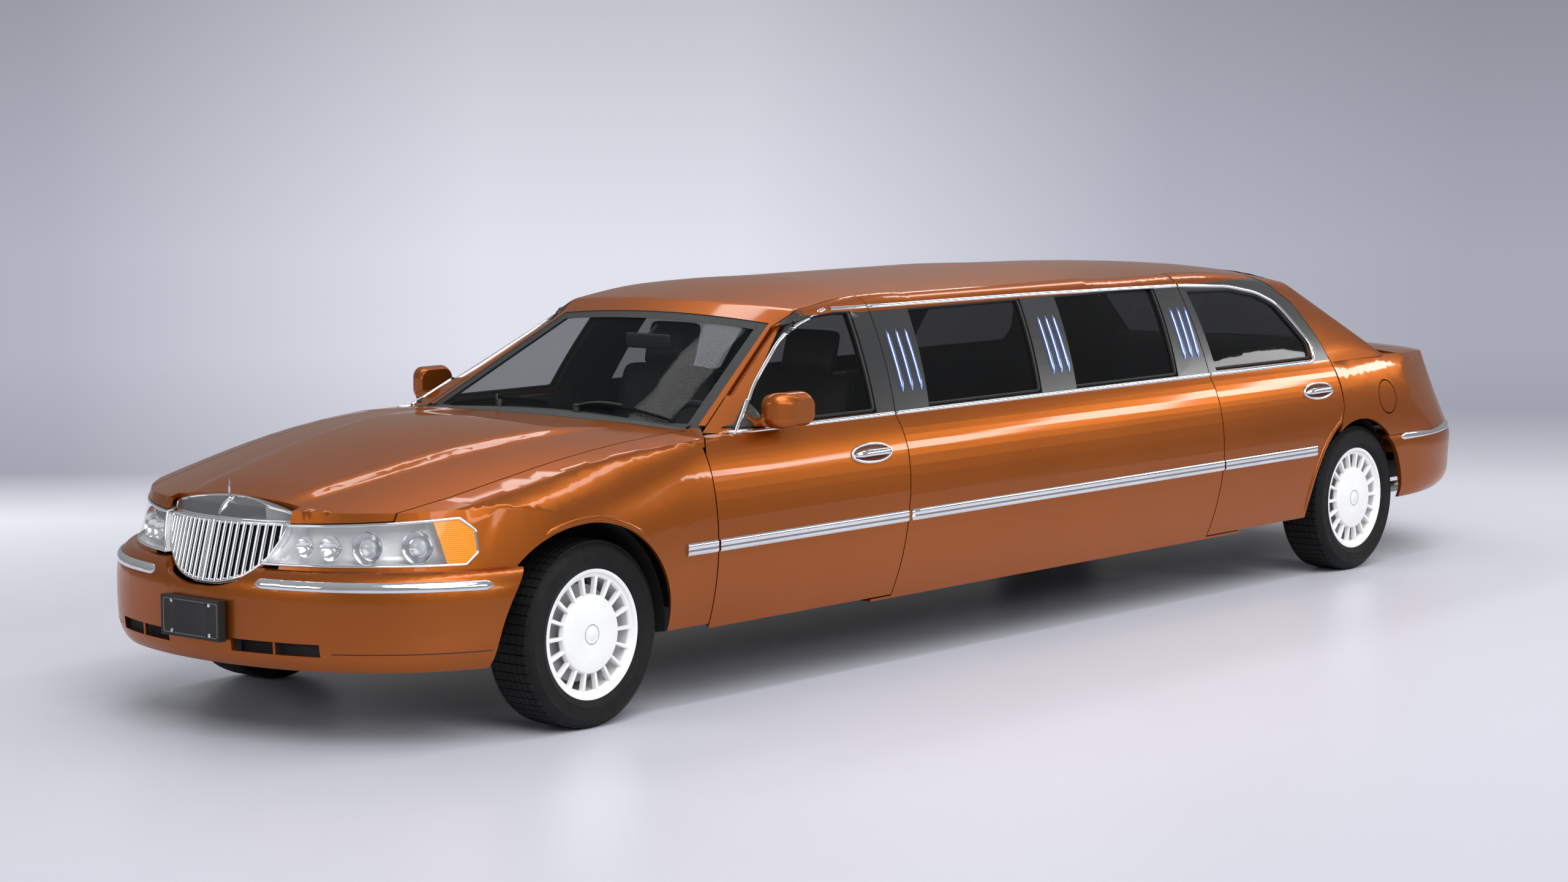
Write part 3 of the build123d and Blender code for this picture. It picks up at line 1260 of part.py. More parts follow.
# ---- Door mirrors: distance from the middle plane, then x and z of the middle, width and height ----
mirror_x = front_joint_x + 438
mirror_z = belt_z + 77
mirror_rows = [(912, -18, 0, 168, 116), (972, 0, 2, 190, 134), (1020, 24, 0, 112, 92)]
mirror_corner = 0.33  # corner radius as a share of the height
foot_x = mirror_x - 122
foot_length = 70
foot_out_y = 930
for tag, side in (("left", -1), ("right", 1)):
    sides = sorted((side * 800, side * foot_out_y))
    with BuildPart() as mirror_foot:
        add(bar(foot_x, foot_x + foot_length, *sides, mirror_z - 54, mirror_z - 24))
        add(cabin_outer.moved(Location((0, side * seat_gap, seat_gap / 2))), mode=Mode.SUBTRACT)
    with BuildPart() as mirror_shell:
        for y, dx, dz, width, height in mirror_rows:
            with BuildSketch(Plane.XZ.offset(-side * y)):
                with Locations((mirror_x + dx, mirror_z + dz)):
                    RectangleRounded(width, height, height * mirror_corner)
        loft()
        add(mirror_foot.part)
    finish(f"mirror_{tag}", mirror_shell)
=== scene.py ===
import json
from math import cos, pi, radians, sin, sqrt

import bmesh
import bpy
from mathutils import Matrix, Vector
from mathutils.bvhtree import BVHTree

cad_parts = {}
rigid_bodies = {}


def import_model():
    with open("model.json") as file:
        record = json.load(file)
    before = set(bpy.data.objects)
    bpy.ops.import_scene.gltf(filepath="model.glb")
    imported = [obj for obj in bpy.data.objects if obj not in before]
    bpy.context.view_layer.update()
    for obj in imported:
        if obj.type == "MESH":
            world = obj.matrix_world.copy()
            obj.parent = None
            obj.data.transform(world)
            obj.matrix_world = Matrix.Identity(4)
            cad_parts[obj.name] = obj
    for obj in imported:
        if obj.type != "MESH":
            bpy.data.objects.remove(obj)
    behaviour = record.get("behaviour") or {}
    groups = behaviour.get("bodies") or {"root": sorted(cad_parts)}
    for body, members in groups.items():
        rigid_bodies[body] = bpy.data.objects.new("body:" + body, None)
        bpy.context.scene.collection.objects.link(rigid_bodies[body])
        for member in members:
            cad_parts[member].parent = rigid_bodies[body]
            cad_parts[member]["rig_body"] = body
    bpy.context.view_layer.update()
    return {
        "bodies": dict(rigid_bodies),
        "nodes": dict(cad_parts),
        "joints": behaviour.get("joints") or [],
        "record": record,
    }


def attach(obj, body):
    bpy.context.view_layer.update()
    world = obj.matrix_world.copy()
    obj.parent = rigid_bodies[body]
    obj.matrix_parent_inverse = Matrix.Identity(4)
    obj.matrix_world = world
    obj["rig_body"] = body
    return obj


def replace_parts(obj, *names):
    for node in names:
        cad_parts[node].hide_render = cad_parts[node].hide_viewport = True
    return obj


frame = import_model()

nodes = frame["nodes"]
scene = bpy.context.scene
print("frame loaded:", len(nodes), "nodes")

# ---- camera, light and floor ----
camera = {"place": (-11.4551, -9.2076, 2.2838), "yaw": 0.7046, "pitch": -0.1045, "roll": -0.0037, "lens": 78.49}


def makeCamera(spec):
    yaw, pitch, roll = spec["yaw"], spec["pitch"], spec["roll"]
    ahead = Vector((cos(yaw) * cos(pitch), sin(yaw) * cos(pitch), sin(pitch)))
    right = Vector((sin(yaw), -cos(yaw), 0))
    up = right.cross(ahead)
    right, up = right * cos(roll) + up * sin(roll), up * cos(roll) - right * sin(roll)
    data = bpy.data.cameras.new("camera")
    data.lens = spec["lens"]
    data.sensor_width = 36
    data.clip_end = 200
    obj = bpy.data.objects.new("camera", data)
    turn = Matrix((right, up, -ahead)).transposed().to_4x4()
    obj.matrix_world = Matrix.Translation(spec["place"]) @ turn
    scene.collection.objects.link(obj)
    scene.camera = obj


makeCamera(camera)
scene.view_settings.view_transform = "Standard"


class Sock:
    # a shader value: operators add Math nodes, colours and vectors have their own calls
    def __init__(self, tree, socket):
        self.tree = tree
        self.socket = socket

    def link(self, target):
        if isinstance(self.socket, (int, float)):
            target.default_value = self.socket
        else:
            self.tree.links.new(self.socket, target)

    def math(self, operation, *others):
        node = self.tree.nodes.new("ShaderNodeMath")
        node.operation = operation
        for slot, value in zip(node.inputs, (self, *others)):
            if isinstance(value, Sock):
                value.link(slot)
            else:
                slot.default_value = value
        return Sock(self.tree, node.outputs[0])

    def __add__(self, other):
        return self.math("ADD", other)

    def __sub__(self, other):
        return self.math("SUBTRACT", other)

    def __mul__(self, other):
        return self.math("MULTIPLY", other)

    def __truediv__(self, other):
        return self.math("DIVIDE", other)

    def __gt__(self, other):
        return self.math("GREATER_THAN", other)

    def __lt__(self, other):
        return self.math("LESS_THAN", other)

    def __radd__(self, other):
        return Sock(self.tree, other).math("ADD", self)

    def __rsub__(self, other):
        return Sock(self.tree, other).math("SUBTRACT", self)

    def __rmul__(self, other):
        return Sock(self.tree, other).math("MULTIPLY", self)

    def clamp(self):
        node = self.math("ADD", 0)
        node.socket.node.use_clamp = True
        return node


def setStops(ramp, stops):
    while len(ramp.elements) < len(stops):
        ramp.elements.new(0.5)
    for element, (place, colour) in zip(ramp.elements, stops):
        element.position = place
        element.color = colour


class Finish:
    # one material: its node tree, and its principled shader with the fixed values set on it
    def __init__(self, name, **fixed):
        self.material = bpy.data.materials.new(name)
        self.material.use_nodes = True
        self.tree = self.material.node_tree
        self.shader = self.tree.nodes["Principled BSDF"]
        for key, value in fixed.items():
            title = key.replace("_", " ")
            self.shader.inputs[title].default_value = value

    def node(self, kind, settings=None, inputs=None, out=0):
        node = self.tree.nodes.new("ShaderNode" + kind)
        for key, value in (settings or {}).items():
            if key == "stops":
                setStops(node.color_ramp, value)
            else:
                setattr(node, key, value)
        for key, value in (inputs or {}).items():
            if isinstance(value, Sock):
                value.link(node.inputs[key])
            else:
                node.inputs[key].default_value = value
        return Sock(self.tree, node.outputs[out])

    def place(self, scale=(1, 1, 1)):
        coords = self.node("TexCoord", out="Object")
        return self.node("Mapping", inputs={"Vector": coords, "Scale": scale})

    def axis(self, name):
        coords = self.node("TexCoord", out="Object")
        return self.node("SeparateXYZ", inputs={"Vector": coords}, out=name)

    def noise(self, scale, detail=3.0, rough=0.5, stretch=(1, 1, 1)):
        return self.node("TexNoise", inputs={"Vector": self.place(stretch), "Scale": scale,
                                             "Detail": detail, "Roughness": rough}, out="Fac")

    def cells(self, scale, stretch=(1, 1, 1)):
        return self.node("TexVoronoi", inputs={"Vector": self.place(stretch), "Scale": scale}, out="Distance")

    def ramp(self, value, *stops):
        return self.node("ValToRGB", {"stops": stops}, {"Fac": value})

    def mix(self, factor, a, b):
        return self.node("Mix", {"data_type": "RGBA"}, {6: a, 7: b, 0: factor}, out=2)

    def feed(self, title, value):
        value.link(self.shader.inputs[title])
        return self

    def tones(self, pattern, dark, light, low=0.3, high=0.75):
        # the base colour goes from dark to light as the pattern rises from low to high
        return self.feed("Base Color", self.ramp(pattern, (low, rgb(*dark)), (high, rgb(*light))))

    def bump(self, height, distance, strength=1.0):
        normal = self.node("Bump", inputs={"Height": height, "Distance": distance, "Strength": strength})
        normal.link(self.shader.inputs["Normal"])
        return self


def rgb(red, green, blue):
    # screen values 0-255 to linear light
    linear = [((c / 255 + 0.055) / 1.055) ** 2.4 if c > 10 else c / 255 / 12.92 for c in (red, green, blue)]
    return (*linear, 1)


def paintFinish():
    f = Finish("copperPaint", Metallic=0.85, Specular_Tint=(0.8, 0.5, 0.25, 1),
               Coat_Roughness=0.07, Coat_Weight=0.6, Coat_IOR=1.4)
    flake = f.cells(900)
    cloud = f.noise(1.3, 2)
    f.tones(cloud * 0.6 + flake * 0.5, (146, 74, 18), (164, 86, 26), 0.25, 0.85)
    f.feed("Roughness", 0.3 + f.noise(400, 1) * 0.1)
    f.bump(flake, 0.00003)
    return f.material


def chromeFinish(name="chrome", tint=(226, 227, 230), rough=0.06):
    f = Finish(name, Metallic=1.0)
    f.tones(f.noise(6, 2), [c - 12 for c in tint], tint, 0.3, 0.7)
    f.feed("Roughness", rough + f.noise(60, 3) * 0.05)
    return f.material


def plasticFinish(name, dark, light, rough, grain=1800, depth=0.00008):
    f = Finish(name)
    f.tones(f.noise(9, 4), dark, light)
    f.feed("Roughness", rough + f.noise(40, 3) * 0.12)
    f.bump(f.cells(grain), depth)
    return f.material


def tyreFinish():
    f = Finish("tyreRubber", Specular_IOR_Level=0.25)
    f.tones(f.noise(14, 5), (13, 13, 14), (25, 25, 25))
    f.feed("Roughness", 0.62 + f.noise(50, 4) * 0.2)
    f.bump(f.noise(900, 3), 0.0002)
    return f.material


def wheelFinish():
    f = Finish("whiteWheel", Coat_Weight=0.6, Coat_Roughness=0.08)
    f.tones(f.noise(10, 4), (236, 236, 235), (248, 248, 247), 0.3, 0.8)
    f.feed("Roughness", 0.35 + f.noise(90, 3) * 0.12)
    return f.material


def satinFinish(name, tone, metallic=0.3, rough=0.4):
    f = Finish(name, Metallic=metallic, Coat_Weight=0.4, Coat_Roughness=0.2)
    f.tones(f.noise(5, 4), [c - 7 for c in tone], tone)
    f.feed("Roughness", rough + f.noise(120, 2) * 0.1)
    f.bump(f.cells(1500), 0.00003)
    return f.material


def glassFinish(name, tone, alpha, rough=0.03, coat=0.04, level=0.12):
    f = Finish(name, Roughness=rough, Specular_IOR_Level=level, Coat_Weight=coat, Coat_Roughness=0.02)
    f.tones(f.noise(2, 1), [max(c - 3, 0) for c in tone], tone, 0.3, 0.7)
    f.feed("Alpha", alpha + f.noise(1.5, 1) * 0.04)
    return f.material


def leatherFinish(name, dark, light):
    f = Finish(name, Coat_Weight=0.1)
    grain = f.cells(520)
    f.tones(grain * 0.5 + f.noise(30, 4) * 0.5, dark, light, 0.2, 0.7)
    f.feed("Roughness", 0.42 + f.noise(60, 3) * 0.18)
    f.bump(grain, 0.0005)
    return f.material


def lensFinish(name, tone, alpha, rough=0.12):
    f = Finish(name, Specular_IOR_Level=0.3, Coat_Weight=0.4, Coat_Roughness=0.03)
    ribs = f.axis("Z").math("MULTIPLY", 900).math("SINE")
    f.tones(ribs * 0.5 + 0.5, [int(c * 0.94) for c in tone], tone, 0.0, 1.0)
    f.feed("Roughness", rough + f.noise(30, 2) * 0.05)
    f.feed("Alpha", alpha + f.noise(2, 1) * 0.03)
    f.bump(ribs, 0.0002)
    return f.material


paint = paintFinish()
chrome = chromeFinish()
blueChrome = chromeFinish("blueChrome", (150, 172, 238), 0.12)
mirrorGlass = chromeFinish("mirrorGlass", (150, 158, 166), 0.02)
blackPlastic = plasticFinish("blackPlastic", (16, 16, 17), (26, 26, 27), 0.5)
trimPlastic = plasticFinish("cabinTrim", (20, 21, 22), (32, 33, 34), 0.6)
linerPlastic = plasticFinish("linerPlastic", (8, 8, 8), (16, 16, 16), 0.7, 600, 0.0004)
sealRubber = plasticFinish("sealRubber", (10, 10, 10), (18, 18, 18), 0.55)
framePaint = plasticFinish("framePaint", (14, 14, 15), (26, 25, 25), 0.6, 500, 0.0003)
castMetal = plasticFinish("castMetal", (70, 70, 70), (104, 103, 100), 0.5, 700, 0.0005)
exhaustSteel = chromeFinish("exhaustSteel", (140, 132, 124), 0.35)
tyreRubber = tyreFinish()
whiteWheel = wheelFinish()
pillarSatin = satinFinish("pillarSatin", (24, 25, 26), 0.2)
drumMetal = satinFinish("drumMetal", (168, 168, 168), 0.3)
headerSatin = satinFinish("headerSatin", (104, 104, 105), 0.6, 0.32)
tintedGlass = glassFinish("tintedGlass", (12, 13, 14), 0.55)
doorGlass = glassFinish("doorGlass", (12, 13, 14), 0.4)
clearGlass = glassFinish("clearGlass", (20, 28, 30), 0.13)
lampLens = glassFinish("lampLens", (226, 230, 234), 0.08, coat=1.0, level=0.5)
reflector = chromeFinish("reflector", (238, 239, 240), 0.16)
lampHousing = satinFinish("lampHousing", (238, 239, 240), 0.4, 0.3)
amberLens = lensFinish("amberLens", (250, 150, 6), 0.95)
redLens = lensFinish("redLens", (168, 12, 16), 0.95)
darkLeather = leatherFinish("darkLeather", (38, 38, 39), (56, 56, 57))
headliner = leatherFinish("headliner", (52, 50, 48), (68, 66, 63))
print("finishes made")

surround = {
    # hot and near: the floor's painted bright band and its darker tone close to the camera
    "hot": (240, 241, 250), "near": (216, 217, 229),
    # painted light on the backdrop: its tones from a painted bright middle to darker sides, and a painted
    # fall-off from top to foot
    "wall": [(0.15, (226, 227, 238)), (0.65, (181, 182, 196)), (1.0, (168, 169, 183))],
    "fall": [(0.0, 0.70), (0.35, 0.90), (0.55, 1.0), (0.75, 1.0), (1.0, 0.82)],
    "floor": (214, 215, 225), "lowLight": 0.3, "highLight": 0.5,
}


def rayMask(tree):
    # 1 for what the camera sees, also in gloss and through glass
    path = tree.nodes.new("ShaderNodeLightPath")
    seen = Sock(tree, path.outputs["Is Camera Ray"]) + Sock(tree, path.outputs["Is Glossy Ray"])
    return (seen + Sock(tree, path.outputs["Is Transmission Ray"])).clamp()


def dotted(tree, socket, vector):
    node = tree.nodes.new("ShaderNodeVectorMath")
    node.operation = "DOT_PRODUCT"
    tree.links.new(socket, node.inputs[0])
    node.inputs[1].default_value = vector
    return Sock(tree, node.outputs["Value"])


def wallWithPaintedLight(tree, along, across, drop):
    # the backdrop's colour with painted light on it: a bright middle along the view, darker across it, and a
    # painted fall-off with the drop below eye level
    tones = tree.nodes.new("ShaderNodeValToRGB")
    ((across / along + 0.05).math("ABSOLUTE") * 4).clamp().link(tones.inputs["Fac"])
    falls = tree.nodes.new("ShaderNodeValToRGB")
    (drop / along * 7 + 0.2).clamp().link(falls.inputs["Fac"])
    setStops(tones.color_ramp, [(t, rgb(*c)) for t, c in surround["wall"]])
    setStops(falls.color_ramp, [(t, (c, c, c, 1)) for t, c in surround["fall"]])
    both = tree.nodes.new("ShaderNodeMix")
    both.data_type = "RGBA"
    both.blend_type = "MULTIPLY"
    both.inputs[0].default_value = 1
    tree.links.new(tones.outputs[0], both.inputs[6])
    tree.links.new(falls.outputs[0], both.inputs[7])
    return Sock(tree, both.outputs[2])


ahead = Vector((cos(camera["yaw"]), sin(camera["yaw"]), 0))
aside = Vector((sin(camera["yaw"]), -cos(camera["yaw"]), 0))


def makeWorld(spec):
    world = bpy.data.worlds.new("studio")
    scene.world = world
    world.use_nodes = True
    tree = world.node_tree
    tree.nodes.clear()
    out = tree.nodes.new("ShaderNodeOutputWorld")
    coords = tree.nodes.new("ShaderNodeTexCoord")
    split = tree.nodes.new("ShaderNodeSeparateXYZ")
    tree.links.new(coords.outputs["Generated"], split.inputs[0])
    height = Sock(tree, split.outputs["Z"])
    show = tree.nodes.new("ShaderNodeBackground")
    toward = coords.outputs["Generated"]
    # what the camera sees of the world is the backdrop with its painted light
    wallWithPaintedLight(tree, dotted(tree, toward, ahead).math("MAXIMUM", 0.05), dotted(tree, toward, aside),
             height * -1).link(show.inputs["Color"])
    light = tree.nodes.new("ShaderNodeBackground")
    light.inputs["Color"].default_value = (0.95, 0.97, 1.0, 1)
    rise = height.math("ABSOLUTE").clamp() * (spec["highLight"] - spec["lowLight"]) + spec["lowLight"]
    rise.link(light.inputs["Strength"])
    path = tree.nodes.new("ShaderNodeLightPath")
    pick = tree.nodes.new("ShaderNodeMixShader")
    Sock(tree, path.outputs["Is Camera Ray"]).link(pick.inputs["Fac"])
    tree.links.new(light.outputs[0], pick.inputs[1])
    tree.links.new(show.outputs[0], pick.inputs[2])
    tree.links.new(pick.outputs[0], out.inputs["Surface"])


makeWorld(surround)

lamps = [
    # name, place, aim, size along the car's x or across the aim, the other size, watts
    ("overNear", (-1.2, -2.3, 5.0), (-0.8, -0.9, 0.9), 6.0, 0.5, 75),
    ("overFar", (0.8, 2.6, 5.0), (-0.8, 0.3, 0.9), 8.0, 0.5, 75),
    ("shoulder", (8.0, -6.1, 3.95), (-0.5, -0.95, 0.88), 7.5, 0.6, 210),
    ("nearSide", (-5.0, -8.5, 3.6), (-0.6, -0.9, 0.6), 7.0, 1.2, 150),
    ("nose", (-10.5, 1.5, 3.2), (-3.4, 0, 0.7), 4.0, 1.2, 70),
    ("tail", (7.5, 0.5, 6.5), (3.2, 0, 0.8), 3.0, 1.0, 60),
]
sun = {"strength": 1.55, "angle": 40, "from": (-0.45, -0.75, 0.95)}


def makeLamps():
    for name, place, aim, width, length, watts in lamps:
        data = bpy.data.lights.new(name, "AREA")
        data.shape = "RECTANGLE"
        data.size = width
        data.size_y = length
        data.energy = watts
        obj = bpy.data.objects.new(name, data)
        obj.location = place
        away = (Vector(place) - Vector(aim)).normalized()
        along = Vector((0, 0, 1)).cross(away) if abs(away.z) < 0.7 else Vector((1, 0, 0))
        along = (along - away * along.dot(away)).normalized()
        obj.rotation_euler = Matrix((along, away.cross(along), away)).transposed().to_euler()
        scene.collection.objects.link(obj)
    data = bpy.data.lights.new("sun", "SUN")
    data.energy = sun["strength"]
    data.angle = radians(sun["angle"])
    obj = bpy.data.objects.new("sun", data)
    obj.rotation_euler = Vector(sun["from"]).to_track_quat("Z", "Y").to_euler()
    scene.collection.objects.link(obj)


makeLamps()


def floorFinish():
    # shaded by the car close to it; further out it glows with painted light: darker near tones rising to a
    # painted bright band, going over into the backdrop's painted fall-off
    f = Finish("studioFloor", Specular_IOR_Level=0.3)
    tone = surround["floor"]
    f.tones(f.noise(0.4, 2), [c - 2 for c in tone], tone, 0.2, 0.8)
    f.feed("Roughness", 0.32 + f.noise(3, 2) * 0.05)
    x, y = f.axis("X"), f.axis("Y")
    reach = ((x * 0.17).math("POWER", 2) + (y * 0.32).math("POWER", 2)).math("SQRT")
    away = ((reach - 0.95) * 1.1).clamp()
    depth = x * cos(camera["yaw"]) + y * sin(camera["yaw"])
    # painted light on the floor: from the darker near tone to the painted bright hot band
    bands = ((-9, "near"), (-4, "near"), (3, "hot"), (6, "hot"))
    first, last = bands[0][0], bands[-1][0]
    stops = [((place - first) / (last - first), rgb(*surround[tone])) for place, tone in bands]
    eye = Vector(camera["place"])
    along = (depth - eye.dot(ahead)).math("MAXIMUM", 1.0)
    coords = f.node("TexCoord", out="Object").socket
    drop = Sock(f.tree, eye.z)
    wall = wallWithPaintedLight(f.tree, along, dotted(f.tree, coords, aside) - eye.dot(aside), drop)
    nearer = ((drop / along - 0.1135) * 70).clamp()
    tone = f.mix(nearer, wall, f.ramp((depth - first) / (last - first), *stops))
    glow = f.node("Emission", inputs={"Color": tone, "Strength": 1.0})
    mix = f.tree.nodes.new("ShaderNodeMixShader")
    (away * rayMask(f.tree)).link(mix.inputs["Fac"])
    f.tree.links.new(f.shader.outputs[0], mix.inputs[1])
    glow.link(mix.inputs[2])
    f.tree.links.new(mix.outputs[0], f.tree.nodes["Material Output"].inputs["Surface"])
    return f.material


def makeFloor():
    bm = bmesh.new()
    bmesh.ops.create_grid(bm, x_segments=2, y_segments=2, size=60)
    mesh = bpy.data.meshes.new("floor")
    bm.to_mesh(mesh)
    bm.free()
    obj = bpy.data.objects.new("floor", mesh)
    obj.data.materials.append(floorFinish())
    scene.collection.objects.link(obj)


makeFloor()
print("camera, light and floor made")


# ---- shared modelling steps ----
frontAxle, rearAxle, axleHeight = -2.76, 2.4, 0.338


def settle(bm, name, material, body=None, smooth=35, extra=()):
    mesh = bpy.data.meshes.new(name)
    bm.to_mesh(mesh)
    bm.free()
    obj = bpy.data.objects.new(name, mesh)
    for item in (material, *extra):
        mesh.materials.append(item)
    scene.collection.objects.link(obj)
    if smooth:
        mesh.shade_smooth()
        mesh.set_sharp_from_angle(angle=radians(smooth))
    if body:
        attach(obj, body)
    return obj


def mergedCopy(name):
    bm = bmesh.new()
    bm.from_mesh(nodes[name].data)
    bmesh.ops.remove_doubles(bm, verts=bm.verts, dist=0.00002)
    bmesh.ops.dissolve_degenerate(bm, edges=bm.edges, dist=0.00001)
    return bm


def sliced(bm, place, normal, **more):
    bmesh.ops.bisect_plane(bm, geom=bm.verts[:] + bm.edges[:] + bm.faces[:], plane_co=place, plane_no=normal,
                           dist=0.00001, **more)


def addBlock(bm, size):
    made = bmesh.ops.create_cube(bm, size=1)["verts"]
    bmesh.ops.scale(bm, vec=size, verts=made)
    return made


def roundEdges(bm, edges, width, segments):
    return bmesh.ops.bevel(bm, geom=edges, offset=width, segments=segments, profile=0.5, affect="EDGES",
                           material=-1)["faces"]


def bodyOf(name):
    return nodes[name]["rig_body"]


def dressNode(name, material, picks=(), cuts=(), smooth=28):
    # a merged, smooth-shaded copy of a CAD node; each pick gives another finish to the faces it takes
    bm = mergedCopy(name)
    for place, normal in cuts:
        sliced(bm, place, normal)
    for face in bm.faces:
        centre = face.calc_center_median()
        for index, (finish, taken) in enumerate(picks):
            if taken(centre, face.normal):
                face.material_index = index + 1
                break
    obj = settle(bm, name + "Skin", material, bodyOf(name), smooth, extra=[finish for finish, taken in picks])
    even = obj.modifiers.new("even", "WEIGHTED_NORMAL")
    even.keep_sharp = True
    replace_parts(obj, name)
    return obj


# ---- casting on the bodywork, and carrying an outline along a path ----
def castTree(names):
    bm = bmesh.new()
    tags = []
    for name in names:
        bm.from_mesh(nodes[name].data)
        tags += [name] * (len(bm.faces) - len(tags))
    tree = BVHTree.FromBMesh(bm)
    bm.free()
    return tree, tags


def castRuns(target, rays, jump=0.012, shortest=0.03):
    # rays that land on one body after another give runs of (place, normal)
    tree, tags = target
    runs = []
    body, last = None, None
    for origin, direction in rays:
        place, normal, index = tree.ray_cast(origin, direction)[:3]
        if place is None:
            body, last = None, None
            continue
        here = bodyOf(tags[index])
        if here != body or (place - last).length > jump:
            runs.append((here, []))
        runs[-1][1].append((place, normal))
        body, last = here, place
    return [run for run in runs if sum((b[0] - a[0]).length for a, b in zip(run[1], run[1][1:])) > shortest]


forward, down = Vector((-1, 0, 0)), Vector((0, 0, -1))
farAhead, farAside = -5, 1.6  # where rays start, clear of the car


def sideRays(points, side):
    return [(Vector((x, side * farAside, z)), Vector((0, -side, 0))) for x, z in points]


def castBack(tree, y, z):
    # from ahead of the car to the rear: the place and its normal
    return tree.ray_cast(Vector((farAhead, y, z)), -forward)[:2]


def roundedPath(points, radius, step=0.01, closed=False):
    # a polyline with its corners rounded, sampled evenly
    points = [Vector(p) for p in points]
    count = len(points)
    path = []
    for i in range(count):
        here = points[i]
        if not closed and i in (0, count - 1):
            path.append(here)
            continue
        before, after = points[i - 1], points[(i + 1) % count]
        cut = min(radius, (here - before).length * 0.45, (after - here).length * 0.45)
        start = here + (before - here).normalized() * cut
        end = here + (after - here).normalized() * cut
        for k in range(7):
            t = k / 6
            path.append(start * (1 - t) ** 2 + here * 2 * t * (1 - t) + end * t * t)
    if closed:
        path.append(path[0])
    fine = []
    for a, b in zip(path, path[1:]):
        parts = max(1, round((b - a).length / step))
        fine += [a.lerp(b, k / parts) for k in range(parts)]
    if not closed:
        fine.append(path[-1])
    return fine


def thinned(run, keep):
    # fewer stations, with both ends kept
    return [station for i, station in enumerate(run) if i % keep == 0 or i == len(run) - 1]


def frameOf(place, along, out):
    # x along, y out, z across both
    frame = Matrix((along, out, along.cross(out))).transposed().to_4x4()
    frame.translation = place
    return frame


def pathFrames(run, closed=False):
    frames = []
    count = len(run)
    for i, (place, normal) in enumerate(run):
        before = run[i - 1][0] if i or closed else place
        after = run[(i + 1) % count][0] if i < count - 1 or closed else place
        along = (after - before).normalized()
        out = (normal - along * normal.dot(along)).normalized()
        frames.append(frameOf(place, along, out))
    return frames


def sweep(bm, outline, frames, closed=False, taper=0, tip=0.25):
    # the outline is a list of (out, across); taper shrinks that many stations at each end
    count = len(frames)

    def scaleAt(i):
        if not taper:
            return 1
        edge = min(i, count - 1 - i)
        return tip + (1 - tip) * min(1, edge / taper) ** 0.5

    def scaled(i, size):
        if size != 1:
            about = Matrix.Translation(-frames[i].translation)
            bmesh.ops.scale(bm, vec=(size,) * 3, space=about, verts=verts)

    verts = [bm.verts.new(frames[0] @ Vector((0, out, across))) for out, across in outline]
    scaled(0, scaleAt(0))
    ring = [bm.edges.new((verts[i], verts[(i + 1) % len(verts)])) for i in range(len(verts))]
    firstRing = ring
    for i in range(1, count):
        made = bmesh.ops.extrude_edge_only(bm, edges=ring)["geom"]
        verts = [item for item in made if isinstance(item, bmesh.types.BMVert)]
        fresh = set(verts)
        ring = [item for item in made if isinstance(item, bmesh.types.BMEdge) and set(item.verts) <= fresh]
        bmesh.ops.transform(bm, matrix=frames[i] @ frames[i - 1].inverted(), verts=verts)
        scaled(i, scaleAt(i) / scaleAt(i - 1))
    if closed:
        bmesh.ops.bridge_loops(bm, edges=firstRing + ring)
    else:
        bmesh.ops.contextual_create(bm, geom=firstRing)
        bmesh.ops.contextual_create(bm, geom=ring)
    bmesh.ops.recalc_face_normals(bm, faces=bm.faces)


def stripPiece(name, material, outline, run, body, closed=False, taper=0, keep=1, smooth=40):
    bm = bmesh.new()
    sweep(bm, outline, pathFrames(thinned(run, keep), closed), closed, taper)
    return settle(bm, name, material, body, smooth)


def halfRound(width, height, sink=0.001, steps=6):
    # a domed outline that stands on the skin
    outline = [(-sink, width / 2)]
    for k in range(steps + 1):
        angle = pi * k / steps
        outline.append((height * sin(angle), width / 2 * cos(angle)))
    outline.append((-sink, -width / 2))
    return outline


def faceLoops(bm, picked):
    # the rims round a set of faces, each as a list of (place, normal), longest first
    rim = [e for e in bm.edges if sum(f in picked for f in e.link_faces) == 1]
    left = set(rim)
    loops = []
    while left:
        edge = left.pop()
        chain = [edge.verts[0], edge.verts[1]]
        while True:
            step = next((e for e in chain[-1].link_edges if e in left), None)
            if step is None:
                break
            left.discard(step)
            chain.append(step.other_vert(chain[-1]))
        loop = []
        for vert in chain:
            normal = Vector()
            for face in vert.link_faces:
                if face in picked:
                    normal += face.normal * face.calc_area()
            loop.append((vert.co.copy(), normal.normalized()))
        loops.append(loop)
    return sorted(loops, key=lambda loop: -sum((b[0] - a[0]).length for a, b in zip(loop, loop[1:])))


def evenLoop(loop, step=0.02, inward=0.0):
    # even stations round a closed loop, moved inwards over the face where asked
    path = [place for place, normal in loop]
    if (path[0] - path[-1]).length > 0.0001:
        loop = loop + [loop[0]]
    total = sum((b[0] - a[0]).length for a, b in zip(loop, loop[1:]))
    count = max(8, round(total / step))
    stations = []
    travelled, index = 0.0, 0
    for k in range(count):
        wanted = total * k / count
        while index < len(loop) - 2 and travelled + (loop[index + 1][0] - loop[index][0]).length < wanted:
            travelled += (loop[index + 1][0] - loop[index][0]).length
            index += 1
        a, b = loop[index], loop[index + 1]
        span = max((b[0] - a[0]).length, 1e-9)
        t = (wanted - travelled) / span
        stations.append((a[0].lerp(b[0], t), (a[1].lerp(b[1], t)).normalized()))
    middle = sum((place for place, normal in stations), Vector()) / count
    if inward:
        moved = []
        for i, (place, normal) in enumerate(stations):
            along = (stations[(i + 1) % count][0] - stations[i - 1][0]).normalized()
            across = along.cross(normal).normalized()
            if across.dot(middle - place) < 0:
                across = -across
            moved.append((place + across * inward, normal))
        stations = moved
    return stations


